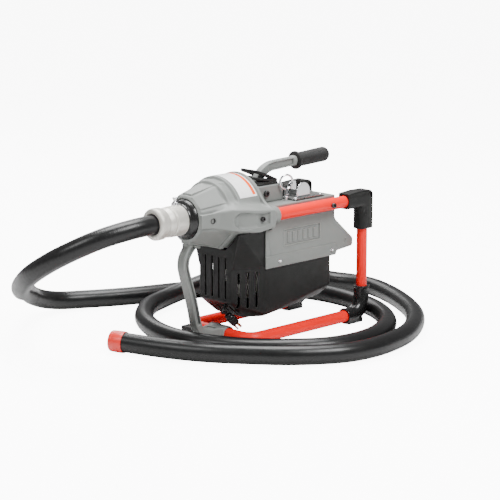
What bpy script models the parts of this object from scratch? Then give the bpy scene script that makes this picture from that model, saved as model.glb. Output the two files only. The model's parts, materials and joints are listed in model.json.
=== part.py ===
"""Drain snake machine: a drum-less sectional cable machine with a cast front end,
a belt-driven hollow spindle, a lever-operated clutch, a tubular frame and a guide hose.

World frame, metres: the floor is z = 0 and the origin is under the front cross tube on the
machine's centre plane. +X runs along the spindle from the guide hose to the cable outlet,
-Y is the side named left, the one with the switch, +Z is up.
"""

import math

import bmesh
import bpy
from mathutils import Matrix, Vector

# ---------------------------------------------------------------- driving dimensions
SPINDLE_Z = 0.302
FRAME_HALF_WIDTH = 0.100
RAIL_RADIUS = 0.0143
POST_RADIUS = 0.0127
TUBE_WALL = 0.002
LOWER_RAIL_Z = 0.020
UPPER_RAIL_Z = 0.300
BEND_RADIUS = 0.030
POST_X = 0.379
LOWER_MOUTH_X = 0.318
UPPER_MOUTH_X = 0.313
LOWER_MOUTH_Z = 0.087
UPPER_MOUTH_Z = 0.228

HOSE_RADIUS = 0.0225
HOSE_WALL = 0.004
HOSE_SPACING = 0.046

SHROUD_HALF_WIDTH = 0.0800
SHROUD_FRONT_X = -0.014
SHROUD_REAR_X = 0.290
SHROUD_WALL = 0.003
COVER_HALF_WIDTH = 0.0840
COVER_WALL = 0.0035
DECK_Z = 0.317
COVER_FOOT_Z = 0.172

MOTOR_Z = 0.148
MOTOR_RADIUS = 0.060
MOTOR_PULLEY_RADIUS = 0.0180
SPINDLE_PULLEY_RADIUS = 0.0660
BELT_X = 0.047
BELT_THICKNESS = 0.0045
BELT_WIDTH = 0.016

SPINDLE_BORE = 0.0130
SPINDLE_RADIUS = 0.0172
SPINDLE_TAIL_RADIUS = 0.0152
SLEEVE_BORE = 0.0176
SLEEVE_RADIUS = 0.0220

PIVOT_X = 0.1065
PIVOT_Z = 0.3385
KEY_AT = (0.1635, -0.0550)
LUG_SCREW_X = 0.0220
LEVER_HALF_WIDTH = 0.0090
CLEARANCE = 0.0004

# Guide hose centre line: out of the adapter, down in a wide arc to the floor behind the machine,
# once round it, one small loop round the front foot, and once more round to the loose end.
HOSE_ROUTE = (
    (-0.165, 0.000, 0.302), (-0.212, 0.000, 0.302), (-0.262, 0.005, 0.299),
    (-0.331, 0.035, 0.282), (-0.388, 0.103, 0.241), (-0.399, 0.183, 0.195),
    (-0.366, 0.265, 0.152), (-0.300, 0.355, 0.112), (-0.220, 0.432, 0.080),
    (-0.176, 0.468, 0.058), (-0.125, 0.486, 0.038), (-0.075, 0.486, 0.027),
    (-0.025, 0.469, 0.024), (0.045, 0.430, 0.024), (0.110, 0.401, 0.024),
    (0.205, 0.367, 0.024), (0.300, 0.322, 0.024), (0.375, 0.260, 0.024),
    (0.425, 0.190, 0.024), (0.450, 0.112, 0.024), (0.450, 0.010, 0.024),
    (0.417, -0.110, 0.024), (0.340, -0.218, 0.024), (0.240, -0.278, 0.024),
    (0.150, -0.295, 0.024), (0.065, -0.279, 0.024), (-0.010, -0.225, 0.024),
    (-0.066, -0.160, 0.024), (-0.101, -0.090, 0.024), (-0.120, -0.015, 0.024),
    (-0.116, 0.060, 0.024), (-0.090, 0.138, 0.024), (-0.045, 0.212, 0.024),
    (0.010, 0.268, 0.024), (0.062, 0.304, 0.024), (0.112, 0.320, 0.026),
    (0.165, 0.322, 0.034), (0.215, 0.312, 0.045), (0.270, 0.294, 0.059),
    (0.320, 0.276, 0.070), (0.370, 0.262, 0.074), (0.425, 0.254, 0.071),
    (0.480, 0.245, 0.057), (0.530, 0.219, 0.038), (0.572, 0.174, 0.026),
    (0.594, 0.118, 0.024), (0.592, 0.050, 0.024), (0.560, -0.036, 0.024),
    (0.507, -0.130, 0.024), (0.443, -0.214, 0.024), (0.366, -0.280, 0.024),
    (0.284, -0.326, 0.024), (0.205, -0.349, 0.024), (0.130, -0.356, 0.024),
    (0.060, -0.344, 0.024), (0.000, -0.310, 0.024), (-0.055, -0.263, 0.024),
    (-0.104, -0.203, 0.024), (-0.150, -0.140, 0.024), (-0.184, -0.075, 0.024),
    (-0.210, -0.010, 0.0245), (-0.232, 0.058, 0.0256), (-0.243, 0.090, 0.0262),
)

PART_COLLECTION = "drain_snake_machine"
CUTTER_COLLECTION = "cutters"


# ---------------------------------------------------------------- scene helpers
def clear_scene():
    for item in list(bpy.data.objects):
        bpy.data.objects.remove(item, do_unlink=True)
    for name in (PART_COLLECTION, CUTTER_COLLECTION):
        bpy.context.scene.collection.children.link(bpy.data.collections.new(name))


def make_material(name, colour, roughness, metallic):
    material = bpy.data.materials.new(name)
    material.use_nodes = True
    shader = material.node_tree.nodes["Principled BSDF"]
    shader.inputs["Base Color"].default_value = (*colour, 1.0)
    shader.inputs["Roughness"].default_value = roughness
    shader.inputs["Metallic"].default_value = metallic
    return material


def make_materials():
    return {
        "grey_paint": make_material("grey_paint", (0.33, 0.34, 0.33), 0.42, 0.0),
        "red_paint": make_material("red_paint", (0.85, 0.035, 0.02), 0.30, 0.0),
        "black_plastic": make_material("black_plastic", (0.03, 0.03, 0.03), 0.45, 0.0),
        "black_rubber": make_material("black_rubber", (0.02, 0.02, 0.02), 0.75, 0.0),
        "hose_vinyl": make_material("hose_vinyl", (0.018, 0.018, 0.018), 0.32, 0.0),
        "red_vinyl": make_material("red_vinyl", (0.75, 0.03, 0.03), 0.40, 0.0),
        "cast_aluminium": make_material("cast_aluminium", (0.62, 0.61, 0.58), 0.45, 0.8),
        "steel": make_material("steel", (0.55, 0.55, 0.55), 0.35, 1.0),
        "zinc_plate": make_material("zinc_plate", (0.75, 0.75, 0.74), 0.25, 1.0),
        "chrome": make_material("chrome", (0.85, 0.85, 0.86), 0.08, 1.0),
        "black_oxide": make_material("black_oxide", (0.02, 0.02, 0.02), 0.38, 0.6),
        "copper": make_material("copper", (0.70, 0.30, 0.16), 0.40, 1.0),
        "brass": make_material("brass", (0.75, 0.55, 0.22), 0.30, 1.0),
        "belt_rubber": make_material("belt_rubber", (0.015, 0.015, 0.015), 0.80, 0.0),
        "cord_vinyl": make_material("cord_vinyl", (0.05, 0.05, 0.05), 0.50, 0.0),
        "label_film": make_material("label_film", (0.85, 0.85, 0.84), 0.35, 0.0),
    }


def add_object(name, data, material):
    item = bpy.data.objects.new(name, data)
    bpy.data.collections[PART_COLLECTION].objects.link(item)
    if material is not None:
        data.materials.append(material)
    return item


def move_to_cutters(item):
    bpy.data.collections[PART_COLLECTION].objects.unlink(item)
    bpy.data.collections[CUTTER_COLLECTION].objects.link(item)
    item.hide_render = True
    item.display_type = "WIRE"


def add_boolean(item, tool, operation):
    modifier = item.modifiers.new(operation.lower() + "_" + tool.name, "BOOLEAN")
    modifier.operation = operation
    modifier.solver = "EXACT"
    modifier.object = tool
    move_to_cutters(tool)


def cut(item, tool):
    add_boolean(item, tool, "DIFFERENCE")


def join(item, tool):
    add_boolean(item, tool, "UNION")


def apply_modifiers(item):
    """Keeps the evaluated mesh, welded, in place of the object's data and modifiers."""
    bpy.context.view_layer.update()
    graph = bpy.context.evaluated_depsgraph_get()
    mesh = bpy.data.meshes.new_from_object(item.evaluated_get(graph))
    work = bmesh.new()
    work.from_mesh(mesh)
    bmesh.ops.remove_doubles(work, verts=work.verts, dist=0.000002)
    work.to_mesh(mesh)
    work.free()
    name = item.name
    made = bpy.data.objects.new(name + "_mesh", mesh)
    made.matrix_world = item.matrix_world.copy()
    for collection in item.users_collection:
        collection.objects.link(made)
    bpy.data.objects.remove(item, do_unlink=True)
    made.name = name
    return made


def smooth(item, angle=35.0):
    item.data.shade_smooth()
    item.data.set_sharp_from_angle(angle=math.radians(angle))
    return item


def add_bevel(item, width, segments=2, angle=30.0):
    modifier = item.modifiers.new("rounded_edges", "BEVEL")
    modifier.width = width
    modifier.segments = segments
    modifier.limit_method = "ANGLE"
    modifier.angle_limit = math.radians(angle)
    return item


def box(name, low, high, material=None, bevel=0.0, segments=1):
    """A box between two opposite corners, its origin at its middle."""
    low, high = Vector(low), Vector(high)
    work = bmesh.new()
    bmesh.ops.create_cube(work, size=1.0, matrix=Matrix.Diagonal((*(high - low), 1.0)))
    mesh = bpy.data.meshes.new(name)
    work.to_mesh(mesh)
    work.free()
    item = add_object(name, mesh, material)
    item.matrix_world = Matrix.Translation((low + high) / 2)
    if bevel:
        add_bevel(item, bevel, segments)
    return item


AXES = {
    "X": Matrix.Rotation(math.radians(90), 4, "Y"),
    "Y": Matrix.Rotation(math.radians(-90), 4, "X"),
    "Z": Matrix.Identity(4),
}


def cylinder(name, centre, radius, length, axis="Z", material=None, sides=24, top_radius=None):
    work = bmesh.new()
    bmesh.ops.create_cone(
        work, cap_ends=True, segments=sides, radius1=radius,
        radius2=radius if top_radius is None else top_radius, depth=length,
        matrix=AXES[axis],
    )
    mesh = bpy.data.meshes.new(name)
    work.to_mesh(mesh)
    work.free()
    item = add_object(name, mesh, material)
    item.matrix_world = Matrix.Translation(centre)
    return smooth(item)


def turned(name, profile, centre, axis="X", material=None, steps=32):
    """A closed profile of (along, radius) pairs turned about the axis. The pairs run with rising
    `along` on the inside and falling `along` on the outside."""
    work = bmesh.new()
    # A Screw turns about local Z, and its profile at +X runs from top to bottom outside.
    verts = [work.verts.new((radius, 0.0, along)) for along, radius in profile]
    for first, second in zip(verts, verts[1:] + verts[:1]):
        work.edges.new((first, second))
    mesh = bpy.data.meshes.new(name)
    work.to_mesh(mesh)
    work.free()
    item = add_object(name, mesh, material)
    item.matrix_world = Matrix.Translation(centre) @ AXES[axis]
    modifier = item.modifiers.new("turned", "SCREW")
    modifier.steps = steps
    modifier.render_steps = steps
    modifier.use_merge_vertices = True
    modifier.merge_threshold = 0.00001
    modifier.use_smooth_shade = True
    return item


def turned_solid(name, profile, centre, axis="X", material=None, steps=32):
    """An open profile of (along, radius) pairs, from the axis at the top to the axis below."""
    work = bmesh.new()
    verts = [work.verts.new((radius, 0.0, along)) for along, radius in profile]
    for first, second in zip(verts, verts[1:]):
        work.edges.new((first, second))
    mesh = bpy.data.meshes.new(name)
    work.to_mesh(mesh)
    work.free()
    item = add_object(name, mesh, material)
    item.matrix_world = Matrix.Translation(centre) @ AXES[axis]
    modifier = item.modifiers.new("turned", "SCREW")
    modifier.steps = steps
    modifier.render_steps = steps
    modifier.use_merge_vertices = True
    modifier.merge_threshold = 0.00001
    modifier.use_smooth_shade = True
    return item


def ring(name, start, length, inner, outer, centre, axis="X", material=None, steps=28):
    profile = (
        (start + length, outer), (start, outer), (start, inner), (start + length, inner),
    )
    return turned(name, profile, centre, axis, material, steps)


def outline_plate(name, points, plane, low, high, material=None):
    """A flat outline in the XZ or XY plane, as a 2D curve extruded between two levels."""
    curve = bpy.data.curves.new(name, "CURVE")
    curve.dimensions = "2D"
    curve.fill_mode = "BOTH"
    curve.extrude = (high - low) / 2
    spline = curve.splines.new("POLY")
    spline.points.add(len(points) - 1)
    for point, (first, second) in zip(spline.points, points):
        point.co = (first, second, 0.0, 1.0)
    spline.use_cyclic_u = True
    item = add_object(name, curve, material)
    middle = (low + high) / 2
    if plane == "XZ":
        item.matrix_world = Matrix.Translation((0.0, middle, 0.0)) @ Matrix.Rotation(
            math.radians(90), 4, "X")
    else:
        item.matrix_world = Matrix.Translation((0.0, 0.0, middle))
    return apply_modifiers(item)


def poly_curve(name, points, radius, resolution, caps):
    curve = bpy.data.curves.new(name, "CURVE")
    curve.dimensions = "3D"
    curve.bevel_depth = radius
    curve.bevel_resolution = resolution
    curve.use_fill_caps = caps
    curve.twist_mode = "MINIMUM"
    spline = curve.splines.new("POLY")
    spline.points.add(len(points) - 1)
    for point, place in zip(spline.points, points):
        point.co = (*place, 1.0)
    return curve


def rod(name, points, radius, material=None, resolution=2):
    item = add_object(name, poly_curve(name, points, radius, resolution, True), material)
    return smooth(apply_modifiers(item))


def tube(name, points, radius, wall, material=None, resolution=2):
    item = add_object(name, poly_curve(name, points, radius, resolution, False), material)
    item = smooth(apply_modifiers(item))
    modifier = item.modifiers.new("wall", "SOLIDIFY")
    modifier.thickness = wall
    modifier.offset = -1.0
    modifier.use_even_offset = False
    return item


def hull(name, points, material=None):
    """The convex solid through the points."""
    work = bmesh.new()
    for point in points:
        work.verts.new(point)
    bmesh.ops.convex_hull(work, input=work.verts)
    bmesh.ops.delete(work, geom=[vert for vert in work.verts if not vert.link_faces],
                     context="VERTS")
    bmesh.ops.recalc_face_normals(work, faces=work.faces)
    mesh = bpy.data.meshes.new(name)
    work.to_mesh(mesh)
    work.free()
    return add_object(name, mesh, material)


def arc_points(centre, radius, start, stop, steps):
    """Points of a circle arc in the plane of the first two coordinates, angles in degrees."""
    made = []
    for step in range(steps + 1):
        angle = math.radians(start + (stop - start) * step / steps)
        made.append((centre[0] + radius * math.cos(angle), centre[1] + radius * math.sin(angle)))
    return made


def spline_points(route, parts=8):
    """A smooth line through every point of the route (centripetal Catmull-Rom)."""
    knots = [Vector(p) for p in route]
    knots = [2 * knots[0] - knots[1]] + knots + [2 * knots[-1] - knots[-2]]
    made = []
    for p0, p1, p2, p3 in zip(knots, knots[1:], knots[2:], knots[3:]):
        d1 = math.sqrt((p1 - p0).length)
        d2 = math.sqrt((p2 - p1).length)
        d3 = math.sqrt((p3 - p2).length)
        m1 = d2 * ((p1 - p0) / d1 - (p2 - p0) / (d1 + d2) + (p2 - p1) / d2)
        m2 = d2 * ((p2 - p1) / d2 - (p3 - p1) / (d2 + d3) + (p3 - p2) / d3)
        for step in range(parts):
            t = step / parts
            made.append(
                (2 * t**3 - 3 * t**2 + 1) * p1 + (t**3 - 2 * t**2 + t) * m1
                + (3 * t**2 - 2 * t**3) * p2 + (t**3 - t**2) * m2
            )
    made.append(knots[-2])
    return made


def even_points(points, spacing):
    """The same line with its points at one spacing."""
    lengths = [0.0]
    for first, second in zip(points, points[1:]):
        lengths.append(lengths[-1] + (second - first).length)
    count = round(lengths[-1] / spacing)
    made = []
    index = 0
    for step in range(count + 1):
        target = lengths[-1] * step / count
        while index < len(points) - 2 and lengths[index + 1] < target:
            index += 1
        span = lengths[index + 1] - lengths[index]
        made.append(points[index].lerp(points[index + 1], (target - lengths[index]) / span))
    return made


def mirrored(point, side):
    return (point[0], point[1] * side, point[2])


# ---------------------------------------------------------------- tubular frame
def make_lower_frame(paint):
    """One bent tube: a cross tube on x = 0 and a rail back to each elbow."""
    half = FRAME_HALF_WIDTH
    corner = arc_points((BEND_RADIUS, half - BEND_RADIUS), BEND_RADIUS, 90, 180, 5)
    side = [(x, y, LOWER_RAIL_Z) for x, y in corner]
    start = [(LOWER_MOUTH_X + 0.020, half, LOWER_RAIL_Z)]
    end = [(LOWER_MOUTH_X + 0.020, -half, LOWER_RAIL_Z)]
    points = start + side + [mirrored(p, -1) for p in reversed(side)] + end
    return tube("lower_frame_tube", points, RAIL_RADIUS, TUBE_WALL, paint, 3)


def make_straight_tubes(paint):
    for label, side in (("left", -1), ("right", 1)):
        y = side * FRAME_HALF_WIDTH
        rail = ((0.008, y, UPPER_RAIL_Z), (UPPER_MOUTH_X + 0.022, y, UPPER_RAIL_Z))
        tube("upper_rail_" + label, rail, RAIL_RADIUS, TUBE_WALL, paint, 3)
        post = ((POST_X, y, LOWER_MOUTH_Z - 0.020), (POST_X, y, UPPER_MOUTH_Z + 0.025))
        tube("rear_post_" + label, post, POST_RADIUS, TUBE_WALL, paint, 3)


def make_upper_elbow(label, side, plastic):
    y = side * FRAME_HALF_WIDTH
    inner = [(x, z) for x, z in arc_points((0.330, 0.252), 0.030, 90, 0, 4)]
    outline = [(UPPER_MOUTH_X, 0.282)] + inner + [(0.360, UPPER_MOUTH_Z)]
    outline += [(0.399, UPPER_MOUTH_Z), (0.399, 0.306), (0.392, 0.319), (0.380, 0.322)]
    outline += [(UPPER_MOUTH_X + 0.006, 0.320), (UPPER_MOUTH_X, 0.317)]
    elbow = outline_plate("upper_elbow_" + label, outline, "XZ", y - 0.0185, y + 0.0185, plastic)
    add_bevel(elbow, 0.0045, 2, 50)
    gap = CLEARANCE
    rail = cylinder("upper_elbow_rail_" + label, (UPPER_MOUTH_X + 0.006, y, UPPER_RAIL_Z),
                    RAIL_RADIUS + gap, 0.034, "X", None, 20)
    post = cylinder("upper_elbow_post_" + label, (POST_X, y, UPPER_MOUTH_Z + 0.008),
                    POST_RADIUS + gap, 0.036, "Z", None, 20)
    cut(elbow, rail)
    cut(elbow, post)


def make_lower_elbow(label, side, plastic):
    y = side * FRAME_HALF_WIDTH
    bend = arc_points((POST_X - 0.046, LOWER_RAIL_Z + 0.046), 0.046, -90, 0, 6)
    points = [(LOWER_MOUTH_X, y, LOWER_RAIL_Z)] + [(x, y, z) for x, z in bend]
    points += [(POST_X, y, LOWER_MOUTH_Z)]
    elbow = rod("lower_elbow_" + label, points, 0.0180, plastic, 3)
    pad = box("lower_elbow_pad_" + label, (0.322, y - 0.013, 0.0), (0.372, y + 0.013, 0.012))
    add_bevel(pad, 0.003, 1)
    join(elbow, pad)
    gap = CLEARANCE
    rail = cylinder("lower_elbow_rail_" + label, (LOWER_MOUTH_X + 0.005, y, LOWER_RAIL_Z),
                    RAIL_RADIUS + gap, 0.032, "X", None, 20)
    post = cylinder("lower_elbow_post_" + label, (POST_X, y, LOWER_MOUTH_Z - 0.005),
                    POST_RADIUS + gap, 0.032, "Z", None, 20)
    cut(elbow, rail)
    cut(elbow, post)


def make_front_foot_pad(label, side, rubber):
    """A rubber clip under each front bend of the lower tube."""
    y = side * (FRAME_HALF_WIDTH - 0.008)
    pad = box("rubber_foot_" + label, (-0.020, y - 0.020, 0.0), (0.026, y + 0.020, 0.016),
              rubber, 0.004, 2)
    half = FRAME_HALF_WIDTH
    corner = arc_points((BEND_RADIUS, half - BEND_RADIUS), BEND_RADIUS, 90, 180, 5)
    line = [(0.09, side * half, LOWER_RAIL_Z)]
    line += [(px, side * py, LOWER_RAIL_Z) for px, py in corner]
    line += [(0.0, side * 0.03, LOWER_RAIL_Z)]
    cut(pad, rod("rubber_foot_seat_" + label, line, RAIL_RADIUS + CLEARANCE, None, 3))


def make_cap_screw(name, centre, side, radius, length, material):
    """A socket head screw along Y with its head outwards."""
    head = -0.004 * side
    profile = (
        (0.0030, 0.0), (0.0030, radius * 0.50), (0.0070, radius * 0.50), (0.0070, radius),
        (0.0, radius), (0.0, radius * 0.55), (-length, radius * 0.55), (-length, 0.0),
    )
    item = turned_solid(name, profile, (0, 0, 0), "Z", material, 12)
    turn = Matrix.Rotation(math.radians(-90 * side), 4, "X")
    item.matrix_world = Matrix.Translation(centre) @ turn
    return head


# ---------------------------------------------------------------- castings
def nose_section(x, radius):
    """Eight corners with flats facing up, down, sideways and between."""
    made = []
    for index in range(8):
        angle = math.radians(22.5 + 45 * index)
        reach = radius / math.cos(math.radians(22.5))
        made.append((x, reach * math.cos(angle), SPINDLE_Z + reach * math.sin(angle)))
    return made


TOP_PAD = ((-0.1020, 0.0578, 0.0140), (-0.0370, 0.0718, 0.0205))
UPPER_PAD = ((-0.1050, 0.0541, 0.0185), (-0.0420, 0.0694, 0.0242))
SIDE_PAD = ((-0.1080, 0.0583, 0.0155), (-0.0380, 0.0705, 0.0205))


def make_nose_pad(name, angle, sizes):
    """A low raised pad along the nose, widening to the back. Sizes is (x, reach, half) at each end."""
    points = []
    for (x, high, half), low in zip(sizes, (0.045, 0.060)):
        for reach in (low, high):
            for across in (-half, half):
                points.append((x, reach * math.cos(angle) - across * math.sin(angle),
                               SPINDLE_Z + reach * math.sin(angle) + across * math.cos(angle)))
    return hull(name, points)


def make_rail_lug(label, side):
    """The wing that runs from the nose's flank back to the collar round the upper rail."""
    lug = hull("rail_lug_" + label, [
        (-0.0780, side * 0.0620, 0.2830), (-0.0780, side * 0.0620, 0.3180),
        (-0.0420, side * 0.0990, 0.2750), (-0.0420, side * 0.0990, 0.3270),
        (0.0150, side * 0.1228, 0.2700), (0.0150, side * 0.1228, 0.3230),
        (0.0640, side * 0.1228, 0.2800), (0.0640, side * 0.1228, 0.3160),
        (0.0590, side * 0.0600, 0.2740), (0.0590, side * 0.0600, 0.3290),
        (-0.0300, side * 0.0600, 0.2660), (-0.0300, side * 0.0600, 0.3400)])
    return lug


def make_clutch_housing(paint):
    """Eight-sided nose, domed belt cover, lugs for the rails; one casting, open at the back."""
    body = hull("clutch_housing", nose_section(-0.1060, 0.0530) + nose_section(-0.0400, 0.0690)
                + nose_section(0.0000, 0.0795) + nose_section(0.0220, 0.0805), paint)
    rim = turned_solid("nose_rim", ((-0.0987, 0.0), (-0.1000, 0.0555), (-0.1090, 0.0530),
                                    (-0.1090, 0.0)), (0, 0, SPINDLE_Z), "X", None, 32)
    join(body, rim)
    dome = turned_solid(
        "belt_dome",
        ((0.0610, 0.0), (0.0610, 0.0860), (0.0590, 0.0887), (0.0530, 0.0887), (0.0510, 0.0868),
         (-0.0150, 0.0868), (-0.0175, 0.0806), (-0.0375, 0.0794), (-0.0405, 0.0740),
         (-0.0440, 0.0)),
        (0, 0, SPINDLE_Z), "X", None, 30)
    below = box("belt_dome_below", (-0.0900, -0.12, 0.15), (0.10, 0.12, SPINDLE_Z - 0.0263))
    cut(dome, below)
    join(body, dome)
    for label, side in (("left", -1), ("right", 1)):
        for name, degrees, sizes in (("upper", 49, UPPER_PAD), ("side", 0, SIDE_PAD)):
            angle = math.radians(degrees if side > 0 else 180 - degrees)
            join(body, make_nose_pad("nose_pad_" + name + "_" + label, angle, sizes))
        join(body, make_rail_lug(label, side))
        collar = cylinder("rail_collar_" + label, (0.0690, side * 0.100, UPPER_RAIL_Z), 0.0205,
                          0.0260, "X", None, 24)
        join(body, collar)
    join(body, make_nose_pad("nose_pad_top", math.radians(90), TOP_PAD))
    # The inside: a mouth for the rubber bushing, the clutch chamber and the belt chamber.
    inside = turned_solid(
        "clutch_chamber",
        ((0.10, 0.0), (0.10, 0.0795), (0.012, 0.0770), (-0.030, 0.0655), (-0.063, 0.0560), (-0.092, 0.0475),
         (-0.096, 0.0465), (-0.130, 0.0466), (-0.130, 0.0)),
        (0, 0, SPINDLE_Z), "X", None, 28)
    cut(body, inside)
    for label, side in (("left", -1), ("right", 1)):
        socket = cylinder("rail_socket_" + label, (0.0535, side * 0.100, UPPER_RAIL_Z),
                          RAIL_RADIUS + CLEARANCE, 0.0920, "X", None, 20)
        cut(body, socket)
        pocket = hull("lug_pocket_" + label, [
            (x, side * y, z) for z in (0.2850, 0.3160)
            for x, y in ((-0.0440, 0.0880), (-0.0200, 0.0960), (0.0060, 0.1152), (0.0400, 0.1152),
                         (0.0400, 0.140), (-0.0440, 0.140))])
        cut(body, pocket)
        hole = cylinder("lug_screw_hole_" + label, (LUG_SCREW_X, side * 0.115, 0.300), 0.0034, 0.024,
                        "Y", None, 12)
        cut(body, hole)
        threaded = cylinder("side_pad_hole_" + label, (-0.0800, side * 0.0750, SPINDLE_Z), 0.0042,
                            0.0240, "Y", None, 12)
        cut(body, threaded)
    return body


def leg_outline(half, drop):
    """The leg's side outline, offset each way from its middle line, ends moved in by drop."""
    line = [(-0.0860, 0.2400 - drop), (-0.1000, 0.2240), (-0.1070, 0.2060), (-0.1065, 0.1850),
            (-0.0820, 0.0720), (-0.0750, 0.0480), (-0.0640, 0.0330), (-0.0470 - drop, 0.0250)]
    left, right = [], []
    for index, (x, z) in enumerate(line):
        before = Vector(line[max(index - 1, 0)])
        after = Vector(line[min(index + 1, len(line) - 1)])
        along = (after - before).normalized()
        across = Vector((-along.y, along.x))
        left.append((x + across.x * half, z + across.y * half))
        right.append((x - across.x * half, z - across.y * half))
    return left + right[::-1]


def make_front_leg(paint):
    leg = outline_plate("front_leg", leg_outline(0.0086, 0.0), "XZ", -0.0105, 0.0105, paint)
    top = hull("leg_flange", [(-0.104, -0.020, 0.2340), (-0.104, 0.020, 0.2340),
                              (-0.104, -0.020, 0.2460), (-0.104, 0.020, 0.2460),
                              (-0.050, -0.020, 0.2170), (-0.050, 0.020, 0.2170),
                              (-0.050, -0.020, 0.2280), (-0.050, 0.020, 0.2280)])
    join(leg, top)
    arm = hull("leg_arm", [(-0.058, -0.0105, 0.0180), (-0.058, 0.0105, 0.0180),
                           (-0.058, -0.0105, 0.0345), (-0.058, 0.0105, 0.0345),
                           (-0.012, -0.0270, 0.0040), (-0.012, 0.0270, 0.0040),
                           (-0.012, -0.0270, 0.0370), (-0.012, 0.0270, 0.0370)])
    join(leg, arm)
    sleeve = cylinder("leg_sleeve", (0, 0, LOWER_RAIL_Z), 0.0190, 0.058, "Y", None, 24)
    join(leg, sleeve)
    pad = box("leg_foot_pad", (-0.018, -0.024, 0.0), (0.018, 0.024, 0.010))
    join(leg, pad)
    for label, side in (("left", -1), ("right", 1)):
        web = outline_plate("leg_web_" + label, leg_outline(0.0050, 0.012), "XZ",
                            min(side * 0.0068, side * 0.03), max(side * 0.0068, side * 0.03))
        cut(leg, web)
    cut(leg, cylinder("leg_sleeve_bore", (0, 0, LOWER_RAIL_Z), RAIL_RADIUS + CLEARANCE, 0.12, "Y",
                      None, 20))
    # Clear the underside of the nose and its flare.
    clear = hull("leg_nose_clearance", nose_section(-0.1130, 0.0530) + nose_section(-0.0630, 0.0675)
                 + nose_section(-0.0250, 0.0800))
    cut(leg, clear)
    clear_rim = cylinder("leg_rim_clearance", (-0.112, 0, SPINDLE_Z), 0.0573, 0.020, "X", None, 32)
    cut(leg, clear_rim)
    return leg


def cover_outline(inset, open_below):
    wall = inset
    foot = COVER_FOOT_Z - (0.030 if open_below else 0.0)
    front = 0.068 - (0.030 if open_below else 0.0)
    upper_front = 0.0865 - (0.040 if open_below else 0.0)
    return [
        (front, foot), (0.306 - wall, foot), (0.310 - wall, 0.1800 if not open_below else foot),
        (0.360 - wall * 1.3, 0.1845), (0.3645 - wall * 1.3, 0.1890),
        (0.3645 - wall * 1.3, 0.2030), (0.3615 - wall * 1.3, 0.2075),
        (0.304 - wall, 0.2570), (0.300 - wall, 0.2650), (0.300 - wall, DECK_Z - wall),
        (upper_front, DECK_Z - wall), (upper_front, 0.262 if not open_below else 0.200),
        (front, 0.262 if not open_below else 0.200),
    ]


def make_drive_cover(paint):
    """The grey cover over the belt and spindle: a deck, two side plates and a sloped back."""
    half = COVER_HALF_WIDTH
    body = outline_plate("drive_cover", cover_outline(0.0, False), "XZ", -half, half, paint)
    for label, side in (("left", -1), ("right", 1)):
        strip = box("cover_skirt_" + label, (0.0672, min(side * 0.0815, side * 0.0852), 0.1715),
                    (0.3120, max(side * 0.0815, side * 0.0852), 0.1985), None)
        join(body, strip)
        plate_edge = box("name_recess_" + label, (0.128, min(side * 0.0832, side * 0.09), 0.2225),
                         (0.243, max(side * 0.0832, side * 0.09), 0.2615))
        cut(body, plate_edge)
    tunnel = turned_solid("spindle_tunnel", ((0.284, 0.0), (0.284, 0.0180), (0.276, 0.0215),
                                             (0.168, 0.0215), (0.168, 0.0)),
                          (0, 0, SPINDLE_Z), "X", None, 28)
    join(body, tunnel)
    inner = outline_plate("cover_inside", cover_outline(COVER_WALL, True), "XZ",
                          -(half - COVER_WALL), half - COVER_WALL)
    cut(body, inner)
    cut(body, cylinder("tunnel_bore", (0.205, 0, SPINDLE_Z), 0.0186, 0.151, "X", None, 24))
    cut(body, cylinder("outlet_hole", (0.300, 0, SPINDLE_Z), 0.0142, 0.060, "X", None, 20))
    cut(body, box("lever_slot", (0.060, -0.033, 0.290), (0.140, 0.033, 0.340)))
    cut(body, cylinder("key_hole", (*KEY_AT, 0.310), 0.0050, 0.040, "Z", None, 12))
    cut(body, cylinder("toggle_hole", (0.212, -0.047, 0.314), 0.0090, 0.020, "Z", None, 16))
    for label, side in (("left", -1), ("right", 1)):
        for place, x, z in (("front", 0.110, 0.1855), ("rear", 0.287, 0.1855)):
            cut(body, cylinder("skirt_hole_" + place + "_" + label, (x, side * 0.082, z), 0.0022,
                               0.020, "Y", None, 10))
    return body


def make_lever_bracket(paint):
    bracket = box("lever_bracket", (0.0885, -0.0430, DECK_Z + 0.0004), (0.1660, 0.0430, 0.3560),
                  paint, 0.003, 2)
    cut(bracket, box("bracket_slot", (0.0930, -0.0330, 0.300), (0.1610, 0.0330, 0.370)))
    cut(bracket, box("bracket_mouth", (0.0800, -0.0330, 0.300), (0.0950, 0.0330, 0.3375)))
    cut(bracket, cylinder("bracket_bore", (0.160, 0, SPINDLE_Z), 0.0182, 0.05, "X", None, 20))
    cut(bracket, cylinder("bracket_pivot_hole", (PIVOT_X, 0, PIVOT_Z), 0.0045, 0.12, "Y", None, 16))
    return bracket


# ---------------------------------------------------------------- motor shroud
def shroud_solid(name, inset, material):
    """The shroud's outer or, with an inset, inner form."""
    front = SHROUD_FRONT_X + inset
    rear = SHROUD_REAR_X - inset
    half = SHROUD_HALF_WIDTH - inset
    bottom = 0.056 + inset
    top = 0.205 if inset == 0 else 0.260
    front_top = 0.2180
    side_rise = 0.1000 + inset
    points = []
    for side in (-1, 1):
        points += [(front, side * (0.055 - inset * 0.5), 0.098 + inset * 0.6)]
        points += [(0.034 + inset, side * 0.044, bottom)]
        points += [(0.068, side * (half - 0.006), bottom + 0.001)]
        points += [(rear, side * (half - 0.036), bottom + 0.014)]
        points += [(rear, side * half, side_rise), (0.070, side * half, bottom + 0.008)]
        points += [(rear, side * half, top), (0.068, side * half, top)]
        points += [(front, side * (0.055 - inset * 0.5), top)]
    return hull(name, points, material)


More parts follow.
